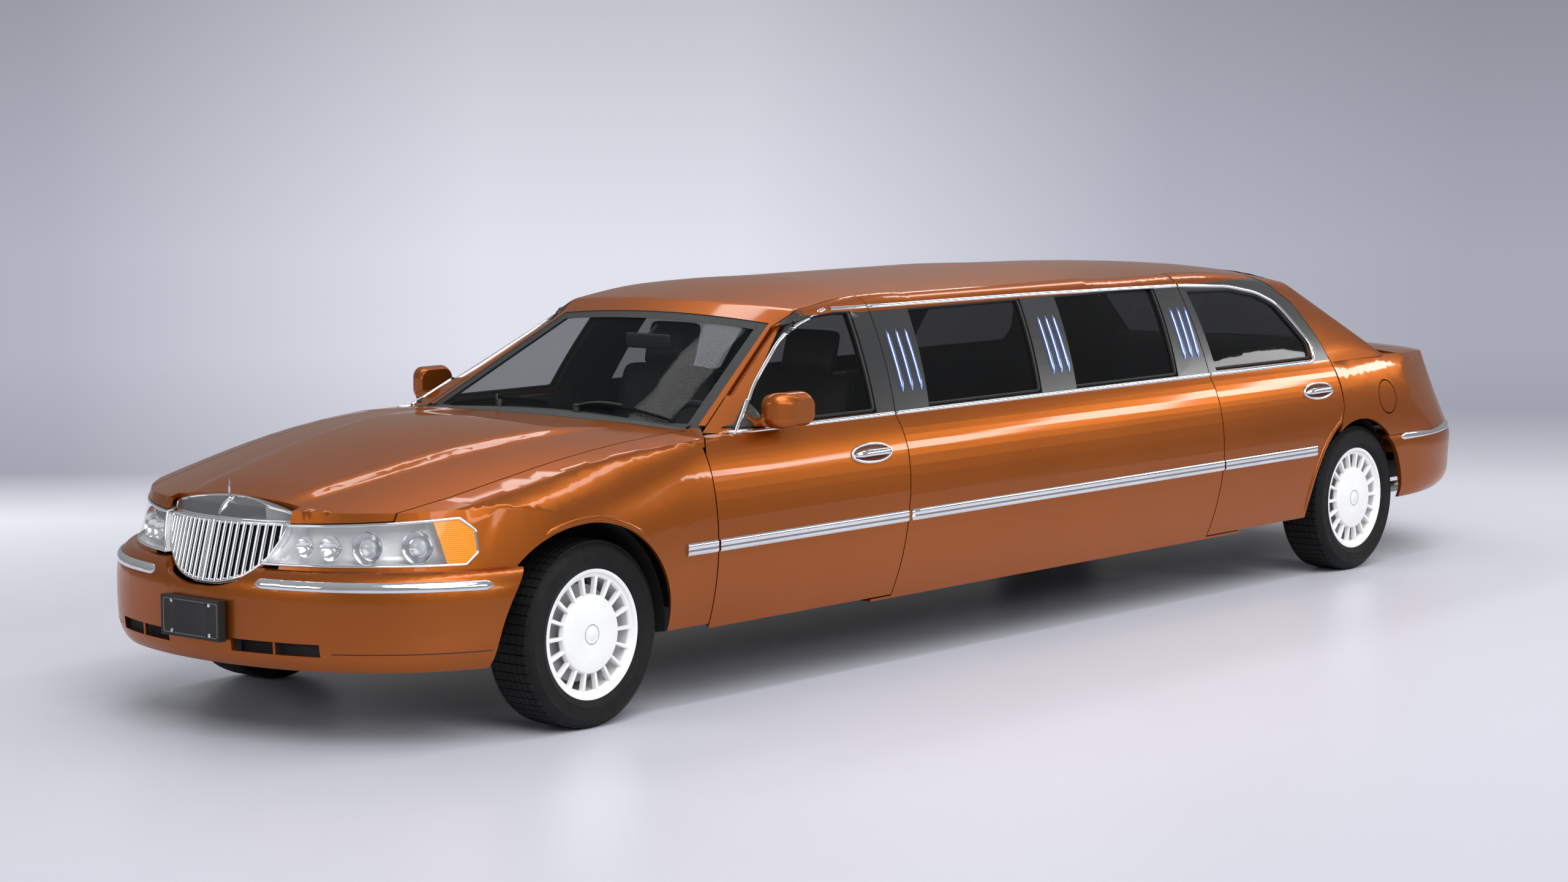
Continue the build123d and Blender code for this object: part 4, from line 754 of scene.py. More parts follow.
# ---- turned pieces and bars ----
def turned(bm, section, frame, steps=32):
    # the section is (radius, out) and turns about the frame's y
    before = set(bm.verts)
    verts = [bm.verts.new((radius, out, 0)) for radius, out in section]
    edges = [bm.edges.new(pair) for pair in zip(verts, verts[1:])]
    bmesh.ops.spin(bm, geom=verts + edges, cent=(0, 0, 0), axis=(0, 1, 0), angle=2 * pi, steps=steps,
                   use_merge=True)
    fresh = [v for v in bm.verts if v not in before]
    bmesh.ops.transform(bm, matrix=frame, verts=fresh)
    bmesh.ops.remove_doubles(bm, verts=fresh, dist=0.00005)
    bmesh.ops.recalc_face_normals(bm, faces=bm.faces)


def turnedPiece(name, material, section, frame, body, steps=32, smooth=35):
    bm = bmesh.new()
    turned(bm, section, frame, steps)
    return settle(bm, name, material, body, smooth)


def frameAt(place, out, up=(0, 0, 1)):
    out = Vector(out).normalized()
    return frameOf(place, out.cross(Vector(up)).normalized(), out)


def roundBar(width, height, steps=12):
    return [(height / 2 * sin(2 * pi * k / steps), width / 2 * cos(2 * pi * k / steps)) for k in range(steps)]


print("helpers ready")

bodySkin = ["front_fenders", "side_panels", "quarter_panels", "roof", "pillars", "front_bumper", "rear_bumper",
            "hood", "trunk_lid", "cowl", "door_front_left", "door_front_right", "door_rear_left",
            "door_rear_right"]
glassNodes = ["side_windows", "windshield", "rear_window", "door_front_left_glass", "door_front_right_glass",
              "door_rear_left_glass", "door_rear_right_glass"]
skinTree = castTree(bodySkin)
glassTree = castTree(glassNodes)
sides = {-1: "left", 1: "right"}

# ---- bright trim on the body sides ----
windowTrim = {
    "width": 0.017, "height": 0.007, "corner": 0.05,
    # x and z round the side windows, from the front foot
    "loop": [(-1.975, 0.988), (-1.90, 0.992), (2.098, 0.994), (2.128, 1.075), (2.020, 1.262), (1.893, 1.318),
             (1.680, 1.356), (1.30, 1.376), (0.2, 1.392), (-1.0, 1.397), (-1.10, 1.397)],
    # up the front pillar, left side
    "pillar": [(-1.975, -0.903, 0.987), (-1.672, -0.738, 1.140), (-1.420, -0.647, 1.289),
               (-1.300, -0.639, 1.346), (-1.130, -0.637, 1.396)],
}
sideTrim = {
    "z": 0.600, "front": -2.333, "rear": 1.966,
    # out from the skin, and up
    "outline": [(-0.001, 0.0225), (0.004, 0.0225), (0.0085, 0.017), (0.0095, 0.006), (0.0075, 0.002),
                (0.0075, -0.002), (0.0095, -0.006), (0.0085, -0.017), (0.004, -0.0225), (-0.001, -0.0225)],
}


def makeWindowTrim(spec):
    for side, tag in sides.items():
        path = roundedPath([(x, 0, z) for x, z in spec["loop"]], spec["corner"], 0.012)
        runs = castRuns(skinTree, sideRays([(p.x, p.z) for p in path], side), jump=0.035)
        tree = castTree([f"door_front_{tag}", f"door_front_{tag}_glass"])[0]
        pillar = [tree.find_nearest(p)[:2] for p in
                  roundedPath([(x, -side * y, z) for x, y, z in spec["pillar"]], 0.06, 0.012)]
        runs.append((bodyOf(f"door_front_{tag}"), pillar))
        for i, (body, run) in enumerate(runs):
            stripPiece(f"windowTrim_{tag}_{i}", chrome, halfRound(spec["width"], spec["height"]), run, body)


def makeSideTrim(spec):
    steps = round((spec["rear"] - spec["front"]) / 0.006)
    points = [(spec["front"] + (spec["rear"] - spec["front"]) * k / steps, spec["z"]) for k in range(steps + 1)]
    for side, tag in sides.items():
        for i, (body, run) in enumerate(castRuns(skinTree, sideRays(points, side), jump=0.05)):
            stripPiece(f"sideTrim_{tag}_{i}", chrome, spec["outline"], run, body, keep=6)


makeWindowTrim(windowTrim)
makeSideTrim(sideTrim)

bumperTrim = [
    # name, x and y of the turning centre, height, way along x, width, last turn
    ("frontBumperTrim", -3.349, 0.40, 0.576, -1, 0.038, 100),
    ("rearBumperTrim", 2.768, 0.40, 0.603, 1, 0.036, 93),
]


def fanRays(x, y, z, way, side, count=60, first=0, last=90):
    rays = []
    for k in range(count + 1):
        turn = radians(first + (last - first) * k / count)
        direction = Vector((way * cos(turn), side * sin(turn), 0))
        rays.append((Vector((x, side * y, z)) + direction * 1.5, -direction))
    return rays


def makeBumperTrim():
    for name, x, y, z, way, width, last in bumperTrim:
        for side, tag in sides.items():
            runs = castRuns(skinTree, fanRays(x, y, z, way, side, 90, -18, last), jump=0.2)
            for i, (body, run) in enumerate(runs):
                stripPiece(f"{name}_{tag}_{i}", chrome, halfRound(width, 0.009, steps=10), run, body, taper=2)


makeBumperTrim()

pillarBars = {
    "width": 0.018, "height": 0.008,
    # x at the top and at the foot of the first and last bar, and how high they reach
    "groups": [(-0.861, -0.911, -0.748, -0.794, 1.069, 1.302), (0.152, 0.103, 0.258, 0.213, 1.071, 1.302),
               (1.133, 1.082, 1.246, 1.186, 1.068, 1.286)],
}


def makePillarBars(spec):
    for g, (topA, footA, topB, footB, low, high) in enumerate(spec["groups"]):
        for b in range(3):
            top = topA + (topB - topA) * b / 2
            foot = footA + (footB - footA) * b / 2
            points = [(top + (foot - top) * k / 16, high + (low - high) * k / 16) for k in range(17)]
            for side, tag in sides.items():
                for body, run in castRuns(skinTree, sideRays(points, side), jump=0.1)[:1]:
                    stripPiece(f"pillarBar_{tag}_{g}_{b}", blueChrome, halfRound(spec["width"], spec["height"]),
                               run, body, taper=2)


makePillarBars(pillarBars)
print("bright trim made")

# ---- door handles, black sails and window seals ----
handles = {
    "long": 0.118, "high": 0.036, "ring": 0.009, "grip": 0.026, "standOff": 0.026,
    "cup": [(1.0, 0.001), (0.93, 0.005), (0.82, 0.0035), (0.5, 0.002), (0.0001, 0.0018)],
    "places": [(-1.232, 0.859), (2.032, 0.868)],  # x and z of the middle
}


def skinFrame(tree, x, z, side):
    # x along the car, y out of the skin, z up it
    (body, run), = castRuns(tree, sideRays([(x - 0.02, z), (x, z), (x + 0.02, z)], side), jump=0.1, shortest=0)
    place, out = run[1]
    along = (run[2][0] - run[0][0]).normalized()
    return body, frameOf(place, along, out)


def ovalLoop(spec, steps=40):
    turns = [2 * pi * k / steps for k in range(steps)]
    return [Vector((spec["long"] * cos(turn), 0, spec["high"] * sin(turn))) for turn in turns]


def makeHandles(spec):
    for n, (x, z) in enumerate(spec["places"]):
        for side, tag in sides.items():
            body, frame = skinFrame(skinTree, x, z, side)
            out = frame.to_3x3() @ Vector((0, 1, 0))
            ring = [(frame @ p, out) for p in ovalLoop(spec)]
            stripPiece(f"handleRing_{tag}_{n}", chrome, halfRound(0.013, 0.008, 0.003), ring, body, closed=True)
            bm = bmesh.new()
            turned(bm, spec["cup"], Matrix.Identity(4), 40)
            bmesh.ops.scale(bm, vec=(spec["long"], 1, spec["high"]), verts=bm.verts)
            bmesh.ops.transform(bm, matrix=frame, verts=bm.verts)
            # the raised cup carries the darkened paint that stands for the recess's shade: painted shade
            settle(bm, f"handleCup_{tag}_{n}", shadedCupPaint, body)
            points = []
            for k in range(25):
                t = k / 24 * 2 - 1
                rise = spec["standOff"] * (1 - abs(t) ** 6)
                points.append((frame @ Vector((t * spec["long"] * 0.93, 0.003 + rise, 0.004)), out))
            bar = [(spec["grip"] / 2 * sin(a) * 0.5, spec["grip"] / 2 * cos(a))
                   for a in (2 * pi * k / 14 for k in range(14))]
            stripPiece(f"handleGrip_{tag}_{n}", chrome, bar, points, body, taper=3)


# the handle cup is body paint made darker to stand for the shade in the recess behind the grip: painted shade
shadedCupPaint = satinFinish("shadedCupPaint", (96, 44, 12), 0.4, 0.35)
makeHandles(handles)

sail = {"lift": 0.002, "thick": 0.003, "corners": [(-1.935, 1.003), (-1.772, 1.003), (-1.772, 1.060)]}


def skinPatch(name, tree, corners, side, lift, thick, material, step=0.02):
    # a flat convex outline in x and z, laid on the skin
    bm = bmesh.new()
    xs, zs = [x for x, z in corners], [z for x, z in corners]
    middle = Vector((sum(xs) / len(xs), 0, sum(zs) / len(zs)))
    wide, high = max(xs) - min(xs), max(zs) - min(zs)
    columns, rows = (max(2, round(reach / step)) for reach in (wide, high))
    bmesh.ops.create_grid(bm, x_segments=columns, y_segments=rows, size=0.5)
    bmesh.ops.scale(bm, vec=(wide, high, 1), verts=bm.verts)
    bmesh.ops.rotate(bm, matrix=Matrix.Rotation(pi / 2, 3, "X"), verts=bm.verts)
    bmesh.ops.translate(bm, vec=((max(xs) + min(xs)) / 2, 0, (max(zs) + min(zs)) / 2), verts=bm.verts)
    for a, b in zip(corners, corners[1:] + corners[:1]):
        edge = Vector((b[0] - a[0], 0, b[1] - a[1]))
        outward = Vector((edge.z, 0, -edge.x))
        if outward.dot(Vector((a[0], 0, a[1])) - middle) < 0:
            outward = -outward
        sliced(bm, (a[0], 0, a[1]), outward, clear_outer=True)
    body = None
    for vert in bm.verts:
        hits = castRuns(tree, sideRays([(vert.co.x, vert.co.z)], side), shortest=-1)
        if hits:
            body, ((place, normal),) = hits[0]
            vert.co = place + normal * lift
    for vert in [v for v in bm.verts if abs(v.co.y) < 0.01]:
        bm.verts.remove(vert)
    bmesh.ops.recalc_face_normals(bm, faces=bm.faces)
    obj = settle(bm, name, material, body)
    shell = obj.modifiers.new("wall", "SOLIDIFY")
    shell.thickness = thick
    shell.offset = 0
    return obj


for side, tag in sides.items():
    skinPatch(f"sail_{tag}", skinTree, sail["corners"], side, sail["lift"], sail["thick"], blackPlastic)

seals = {
    "width": 0.016, "height": 0.0115, "inset": 0.006,
    # x and z round each side window's glass
    "windows": {
        "front": [(-1.775, 1.003), (-1.775, 1.111), (-1.738, 1.133), (-1.523, 1.273), (-1.388, 1.337),
                  (-1.233, 1.375), (-1.088, 1.385), (-1.003, 1.383), (-1.113, 1.003)],
        "rear": [(1.285, 1.007), (1.325, 1.353), (1.675, 1.343), (1.885, 1.307), (2.005, 1.255),
                 (2.115, 1.075), (2.085, 1.005)],
        "stretchA": [(-0.785, 1.003), (-0.672, 1.379), (0.0915, 1.379), (-0.0215, 1.003)],
        "stretchB": [(0.2215, 1.003), (0.3345, 1.379), (1.098, 1.379), (0.985, 1.003)],
    },
}


def insetPath(corners, amount, radius=0.02):
    # a closed outline in x and z moved inwards
    count = len(corners)
    middle = Vector((sum(x for x, z in corners) / count, 0, sum(z for x, z in corners) / count))
    path = roundedPath([(x, 0, z) for x, z in corners], radius, 0.02, closed=True)
    moved = []
    for i, here in enumerate(path):
        along = (path[(i + 1) % len(path)] - path[i - 1]).normalized()
        inward = Vector((-along.z, 0, along.x))
        if inward.dot(middle - here) < 0:
            inward = -inward
        moved.append(here + inward * amount)
    return [(p.x, p.z) for p in moved]


def makeSeals(spec):
    for name, corners in spec["windows"].items():
        for side, tag in sides.items():
            runs = castRuns(glassTree, sideRays(insetPath(corners, spec["inset"]), side), jump=0.2)
            body, run = max(runs, key=lambda item: len(item[1]))
            stripPiece(f"seal_{name}_{tag}", sealRubber, halfRound(spec["width"], spec["height"], steps=4), run,
                       body, closed=len(runs) == 1)


makeSeals(seals)
print("handles, sails and seals made")

arches = {
    "width": 0.024, "height": 0.0065, "inset": 0.014, "first": -4, "last": 182, "axles": (frontAxle, rearAxle),
    # the search for the opening's edge: from and to which radius, by which step, and how far out the skin is
    "widest": 0.50, "least": 0.33, "step": 0.003, "skinY": 0.88, "stray": 0.03,
}


def archEdge(spec, x, angle, side):
    # how far from the axle the opening ends at this angle
    tree, z = skinTree[0], axleHeight
    reach = spec["widest"]
    while reach > spec["least"]:
        here = Vector((x + reach * cos(angle), side * farAside, z + reach * sin(angle)))
        place = tree.ray_cast(here, Vector((0, -side, 0)))[0]
        if place is None or place.y * side < spec["skinY"]:
            break
        reach -= spec["step"]
    return reach + spec["step"]


def makeArches(spec):
    first, last = spec["first"], spec["last"]
    angles = [radians(first + (last - first) * k / 62) for k in range(63)]
    for n, x in enumerate(spec["axles"]):
        for side, tag in sides.items():
            edges = [archEdge(spec, x, angle, side) for angle in angles]
            even = sorted(edges)[len(edges) // 2]
            radii = [reach + spec["inset"] for reach in edges]
            points = [(x + radius * cos(angle), axleHeight + radius * sin(angle))
                      for angle, reach, radius in zip(angles, edges, radii)
                      if abs(reach - even) < spec["stray"]]
            runs = castRuns(skinTree, sideRays(points, side), jump=0.05, shortest=0.1)
            for i, (body, run) in enumerate(runs):
                stripPiece(f"archLip_{tag}_{n}_{i}", paint, halfRound(spec["width"], spec["height"]), run, body,
                           taper=2)


makeArches(arches)
print("wheel arches lipped")

# ---- headlamps ----
headlamp = {
    # where the amber corner starts, and how far it leans
    "amberX": -3.352, "amberZ": 0.7, "amberLean": 0.12, "sink": 0.012,
    # distance from the middle, height, radius, depth, and what stands in the bowl
    "bowls": [(0.392, 0.702, 0.036, 0.026, "plain"), (0.478, 0.700, 0.044, 0.034, "plain"),
              (0.587, 0.702, 0.056, 0.044, "projector"), (0.716, 0.703, 0.056, 0.044, "projector")],
}


def lampFaces(bm):
    picked = set()
    for face in bm.faces:
        side = 1 if face.calc_center_median().y > 0 else -1
        n = face.normal
        if abs(n.z) < 0.7 and (n.x < -0.3 or n.y * side > 0.45):
            picked.add(face)
    return picked


def makeHeadlamps(spec):
    bm = mergedCopy("headlamps")
    outer = lampFaces(bm)
    tree = castTree(["headlamps"])[0]
    for i, loop in enumerate(faceLoops(bm, outer)[:2]):
        rim = evenLoop(loop, 0.012, 0.003)
        stripPiece(f"lampEdge_{i}", chrome, halfRound(0.011, 0.004, steps=5), rim, "root", closed=True)
    housing = bm.copy()
    drop = [twin for twin, face in zip(housing.faces, bm.faces) if face in outer]
    bmesh.ops.delete(housing, geom=drop, context="FACES")
    bmesh.ops.reverse_faces(housing, faces=housing.faces)
    shell = settle(housing, "lampHousing", lampHousing, "root")
    bmesh.ops.delete(bm, geom=[face for face in bm.faces if face not in outer], context="FACES")
    border, slant = Vector((spec["amberX"], 0, spec["amberZ"])), Vector((1, 0, spec["amberLean"]))
    sliced(bm, border, slant)
    for face in bm.faces:
        face.material_index = int((face.calc_center_median() - border).dot(slant) > 0)
    lens = settle(bm, "lampLens", lampLens, "root", extra=(amberLens,))
    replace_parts(shell, "headlamps")
    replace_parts(lens, "headlamps")
    for side, tag in sides.items():
        for n, (y, z, radius, depth, kind) in enumerate(spec["bowls"]):
            place, normal = castBack(tree, side * y, z)
            out = (normal + Vector((-0.9, 0, 0))).normalized()
            tilt = max(0.0, normal.angle(out))
            frame = frameAt(place - out * (spec["sink"] + radius * sin(tilt)), out)
            bowl = [(radius + 0.003, 0.001), (radius, 0.002)]
            bowl += [(radius * (1 - k / 7) ** 0.5, -depth * (k / 7)) for k in range(1, 8)]
            turnedPiece(f"lampBowl_{tag}_{n}", reflector, bowl, frame, "root")
            if kind == "projector":
                eye = radius * 0.56
                lip = eye + 0.004
                ring = [(lip, -depth * 0.7), (lip, -0.004), (eye, -0.003), (eye - 0.003, -0.006)]
                turnedPiece(f"lampRing_{tag}_{n}", chrome, ring, frame, "root", 28)
                turns = [pi / 2 * k / 6 for k in range(7)]
                dome = [(eye * cos(turn), -0.010 + eye * 0.45 * sin(turn)) for turn in turns]
                turnedPiece(f"lampEye_{tag}_{n}", lampEye, dome, frame, "root", 24)
            elif kind == "plain":
                bulb = [(0.0001, -0.004), (0.006, -0.007), (0.0085, -0.013), (0.0085, -depth * 0.95)]
                turnedPiece(f"lampBulb_{tag}_{n}", chrome, bulb, frame, "root", 16)


lampEye = glassFinish("lampEye", (196, 202, 208), 0.6, coat=1.0, level=0.5)
makeHeadlamps(headlamp)
print("headlamps made")

# ---- grille, header and ornament ----
grilleBars = {"count": 22, "half": 0.312, "top": 0.768, "barWidth": 0.0185, "barDepth": 0.018, "proud": 0.004,
              "frameWidth": 0.020, "frameHeight": 0.013, "radius": 0.660, "faceX": -3.693, "lean": 0.28,
              "seekFrom": 0.545, "seekStep": 0.002, "clear": 0.006}


def makeGrille(spec):
    tree = castTree(["grille"])[0]
    pitch = 2 * spec["half"] / spec["count"]

    def front(y, z):
        # just off the middle of a bar, where no two faces meet
        for shift in (0.0007, -0.0011, 0.0023, -0.0031):
            place, normal = castBack(tree, y + shift, z + shift)
            if place is not None:
                return Vector((place.x, y, z)), normal
        return None, None

    def foot(y):
        z = spec["seekFrom"]
        while z < spec["top"] and front(y, z)[0] is None:
            z += spec["seekStep"]
        return z

    def station(y, z):
        place, normal = front(y, z)
        if place is None or normal.x > -0.4:
            place, normal = front(y, max(z, foot(y)) + spec["clear"])
        if place is None:
            curve = spec["radius"] - sqrt(spec["radius"] ** 2 - y * y)
            place = Vector((spec["faceX"] + (z - 0.774) * spec["lean"] + curve, y, z))
        return Vector((place.x, y, z)), Vector((-0.93, y * 1.4, 0.22)).normalized()

    bm = bmesh.new()
    for k in range(-10, 11):
        y = k * pitch
        low = foot(y) + spec["clear"]
        width = spec["barWidth"] * (1.35 if k == 0 else 1)
        run = []
        for i in range(9):
            place, out = station(y, low + (spec["top"] - low) * i / 8)
            run.append((place + out * (spec["proud"] + (0.003 if k == 0 else 0)), out))
        sweep(bm, roundBar(width, spec["barDepth"], 10), pathFrames(run))
    settle(bm, "grilleBars", chrome, "root", 50)
    edge = []
    for k in range(41):
        y = -spec["half"] + 0.006 + (2 * spec["half"] - 0.012) * k / 40
        edge.append((0, y, foot(y) + 0.007))
    loop = [(0, spec["half"] - 0.006, spec["top"]), (0, -spec["half"] + 0.006, spec["top"])] + edge
    ring = []
    for p in roundedPath(loop, 0.014, 0.012, closed=True):
        place, out = station(p.y, p.z)
        ring.append((Vector((place.x, p.y, p.z)), out))
    stripPiece("grilleFrame", chrome, halfRound(spec["frameWidth"], spec["frameHeight"], 0.004), ring, "root",
               closed=True)


makeGrille(grilleBars)

header = {"border": 0.010, "spine": 0.026, "spineRise": 0.010, "ornamentX": -3.632, "ornamentHigh": 0.075}


def makeHeader(spec):
    bm = mergedCopy("grille_header")
    faces = {face for face in bm.faces if face.normal.x < -0.25 and face.normal.z > -0.6}
    loop = faceLoops(bm, faces)[0]
    stripPiece("headerBorder", chrome, halfRound(spec["border"], 0.004, 0.002, 5), evenLoop(loop, 0.014, 0.004),
               "root", closed=True)
    bm.free()
    tree, tags = castTree(["grille_header", "hood"])
    slant = Vector((0.45, 0, -0.9)).normalized()
    rays = [(Vector((-3.9 + 0.02 * k, 0, 1.1)), slant) for k in range(26)]
    run = []
    for origin, direction in rays:
        place, normal, index = tree.ray_cast(origin, direction)[:3]
        if place is not None and tags[index] == "grille_header":
            run.append((place, normal))
    stripPiece("headerSpine", chrome, halfRound(spec["spine"], spec["spineRise"], 0.002), run, "root", taper=2)
    place, normal, index = tree.ray_cast(Vector((spec["ornamentX"], 0, 2)), down)[:3]
    high = spec["ornamentHigh"]
    section = [(0.0001, -0.004), (0.013, -0.003), (0.012, 0.003), (0.006, 0.006), (0.0035, 0.012),
               (0.0045, high * 0.45), (0.0035, high * 0.8), (0.0012, high), (0.0001, high + 0.001)]
    body = "hood" if tags[index] == "hood" else "root"
    turnedPiece("ornament", chrome, section, frameAt(place, (0, 0, 1), (0, 1, 0)), body, 20)


makeHeader(header)

# ---- plate, intake and bumper lines ----
plate = {"face": -3.825, "half": 0.154, "low": 0.366, "high": 0.508, "bolt": 0.008, "boltY": 0.099,
         "inset": 0.017, "rimIn": 0.011}


def makePlate(spec):
    bm = mergedCopy("plate_bracket")
    front = [face for face in bm.faces
             if face.normal.x < -0.95 and face.calc_center_median().x < spec["face"] + 0.002]
    bmesh.ops.inset_region(bm, faces=front, thickness=0.009, depth=-0.0035, use_even_offset=True)
    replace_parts(settle(bm, "plateBracketSkin", blackPlastic, "root", 30), "plate_bracket")
    low, high, edge, bolt = spec["low"], spec["high"], spec["inset"], spec["bolt"]
    section = [(bolt, -0.006), (bolt, 0.001), (bolt * 0.7, 0.0022), (0.0001, 0.0026)]
    places = [(side * spec["boltY"], z) for side in (-1, 1) for z in (low + edge, high - edge)]
    for n, (y, z) in enumerate(places):
        frame = frameAt((spec["face"] + 0.0032, y, z), forward)
        turnedPiece(f"plateBolt_{n}", chrome, section, frame, "root", 16)
    wide, low, high = spec["half"] - spec["rimIn"], low + spec["rimIn"], high - spec["rimIn"]
    corners = [(0, -wide, low), (0, wide, low), (0, wide, high), (0, -wide, high)]
    path = roundedPath(corners, 0.01, 0.03, closed=True)
    rim = [(Vector((spec["face"] + 0.003, p.y, p.z)), forward) for p in path]
    stripPiece("plateRim", headerSatin, halfRound(0.005, 0.0022, 0.002, 4), rim, "root", closed=True)


makePlate(plate)

bumperLines = {
    "x": -3.349, "y": 0.40, "intakeZ": 0.362, "intakeHigh": 0.040, "behind": 0.026,
    "finY": 0.345, "lipZ": 0.346, "lipFrom": 26,
}


def makeBumperLines(spec):
    for side, tag in sides.items():
        rays = fanRays(spec["x"], spec["y"], spec["intakeZ"], -1, side, 80)
        run = [station for body, stations in castRuns(skinTree, rays, jump=0.5) for station in stations]
        low, deep = spec["intakeHigh"], spec["behind"]
        across = [(-deep, low), (-deep + 0.002, low), (-deep + 0.002, -low), (-deep, -low)]
        inner = [(Vector((x, side * y, spec["intakeZ"])), forward) for x, y in
                 ((-3.752, 0.16), (-3.745, 0.25), (-3.735, 0.34), (-3.715, 0.44), (-3.690, 0.54))]
        stripPiece(f"intakeBack_{tag}", linerPlastic, across, inner, "root")
        rays = fanRays(spec["x"], spec["y"], spec["lipZ"], -1, side, 80, spec["lipFrom"], 100)
        for n, (body, run) in enumerate(castRuns(skinTree, rays, jump=0.3)):
            stripPiece(f"lipSeam_{tag}_{n}", sealRubber, halfRound(0.004, 0.0008, 0.001, 3), run, body)
        place = castBack(skinTree[0], side * spec["finY"], spec["intakeZ"] - 0.034)[0]
        top = place + Vector((-0.002, 0, 0.070))
        fin = [(place.lerp(top, k / 4) + Vector((0.006, 0, 0)), forward) for k in range(5)]
        stripPiece(f"intakeFin_{tag}", paint, roundBar(0.013, 0.016, 8), fin, "root")


makeBumperLines(bumperLines)
print("grille, header and bumper details made")

# ---- wheels and tyres ----
wheelSpec = {
    "spokes": 18, "spokeAt": 0.169, "spokeLong": 0.082, "spokeWide": 0.0155, "spokeDeep": 0.020,
    # radius and out from the wheel's middle plane
    "rim": [(0.203, 0.079), (0.208, 0.087), (0.216, 0.089), (0.222, 0.097), (0.226, 0.0985), (0.2345, 0.0985),
            (0.2355, 0.095), (0.2345, 0.078), (0.220, 0.074), (0.219, -0.060), (0.2355, -0.082),
            (0.2355, -0.0945), (0.230, -0.0945), (0.214, -0.070), (0.204, 0.040), (0.203, 0.079)],
    "disc": [(0.0001, 0.096), (0.030, 0.096), (0.129, 0.094), (0.137, 0.092), (0.142, 0.087), (0.145, 0.072),
             (0.138, 0.060), (0.060, 0.050), (0.0325, 0.040), (0.0325, 0.070), (0.0001, 0.070)],
    "cap": [(0.0001, 0.0985), (0.020, 0.098), (0.0235, 0.096), (0.0245, 0.0935)],
    # a small grey bead round the cap that stands for the shade in a groove there: painted shade
    "grooveShade": [(0.0335, 0.0958), (0.035, 0.0972), (0.0365, 0.0957)],
    "drum": [(0.0001, 0.030), (0.150, 0.030), (0.176, 0.024), (0.178, -0.045), (0.0001, -0.045)],
}
tyreSpec = {
    "steps": 60, "blockRise": 0.007, "blockGap": 0.0021,
    # faces this close to the crown and this near the middle carry blocks
    "crownDepth": 0.0035, "treadHalf": 0.091,
    # half section: radius and out, from the bead to the crown
    "half": [(0.221, 0.068), (0.236, 0.0795), (0.2363, 0.0985), (0.246, 0.1045), (0.256, 0.1085),
             (0.259, 0.1112), (0.262, 0.1112), (0.265, 0.1098), (0.285, 0.1120), (0.303, 0.1108),
             (0.306, 0.1118), (0.309, 0.1100), (0.322, 0.1020), (0.3285, 0.0900), (0.331, 0.0700),
             (0.331, 0.0420), (0.331, 0.0140)],
}
cornerPlaces = {"front_left": (frontAxle, -0.8225, -1), "front_right": (frontAxle, 0.8225, 1),
                "rear_left": (rearAxle, -0.84, -1), "rear_right": (rearAxle, 0.84, 1)}


def wheelFrame(x, y, side):
    frame = Matrix.Rotation(0 if side > 0 else pi, 4, "Z")
    return Matrix.Translation((x, y, axleHeight)) @ frame


def makeWheel(tag, x, y, side, spec):
    body = tag + "_wheel"
    frame = wheelFrame(x, y, side)
    bm = bmesh.new()
    turned(bm, spec["rim"], Matrix.Identity(4), 72)
    turned(bm, spec["disc"], Matrix.Identity(4), 72)
    made = addBlock(bm, (spec["spokeLong"], spec["spokeDeep"], spec["spokeWide"]))
    inner = [v for v in made if v.co.x < 0]
    bmesh.ops.scale(bm, vec=(1, 1, 0.72), verts=inner)
    edges = list({e for v in made for e in v.link_edges if all(w.co.y > 0 for w in e.verts)})
    bevelled = roundEdges(bm, edges, 0.0045, 3)
    spoke = list({v for face in bevelled for v in face.verts} | {v for v in made if v.is_valid})
    bmesh.ops.translate(bm, vec=(spec["spokeAt"], 0.0785, 0), verts=spoke)
    faces = list({f for v in spoke for f in v.link_faces})
    bmesh.ops.spin(bm, geom=spoke + faces, cent=(0, 0, 0), axis=(0, 1, 0), angle=2 * pi, steps=spec["spokes"],
                   use_duplicate=True)
    bmesh.ops.remove_doubles(bm, verts=bm.verts, dist=0.00005)
    bmesh.ops.recalc_face_normals(bm, faces=bm.faces)
    bmesh.ops.transform(bm, matrix=frame, verts=bm.verts)
    wheel = settle(bm, "wheelRim_" + tag, whiteWheel, body, 30)
    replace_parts(wheel, "wheel_" + tag)
    turnedPiece("wheelCap_" + tag, whiteWheel, spec["cap"], frame, body, 32)
    # the grey bead round the cap is painted shade for the groove
    turnedPiece("wheelGrooveShade_" + tag, headerSatin, spec["grooveShade"], frame, body, 40)
    turnedPiece("brakeDrum_" + tag, drumMetal, spec["drum"], frame, "root" if "rear" in tag else
                "knuckle_" + tag.split("_")[1], 48)


def makeTyre(tag, x, y, side, spec):
    bm = bmesh.new()
    section = spec["half"] + [(r, -out) for r, out in reversed(spec["half"])]
    turned(bm, section + section[:1], Matrix.Identity(4), spec["steps"])
    crown = max(r for r, out in spec["half"])
    blocks = []
    for face in bm.faces:
        spread = [abs(v.co.y) for v in face.verts]
        radii = [sqrt(v.co.x ** 2 + v.co.z ** 2) for v in face.verts]
        if min(radii) > crown - spec["crownDepth"] and max(spread) < spec["treadHalf"]:
            blocks.append(face)
    bmesh.ops.inset_individual(bm, faces=blocks, thickness=spec["blockGap"], depth=spec["blockRise"],
                               use_even_offset=True)
    bmesh.ops.transform(bm, matrix=wheelFrame(x, y, side), verts=bm.verts)
    tyre = settle(bm, "tyreTread_" + tag, tyreRubber, tag + "_wheel", 30)
    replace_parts(tyre, "tyre_" + tag)


for tag, (x, y, side) in cornerPlaces.items():
    makeWheel(tag, x, y, side, wheelSpec)
    makeTyre(tag, x, y, side, tyreSpec)
print("wheels and tyres made")

# ---- windshield, wipers and cabin ----
screenBorders = [("windshield", 0.030, 0.020, 0.0012), ("rear_window", 0.020, 0.013, 0.0012)]


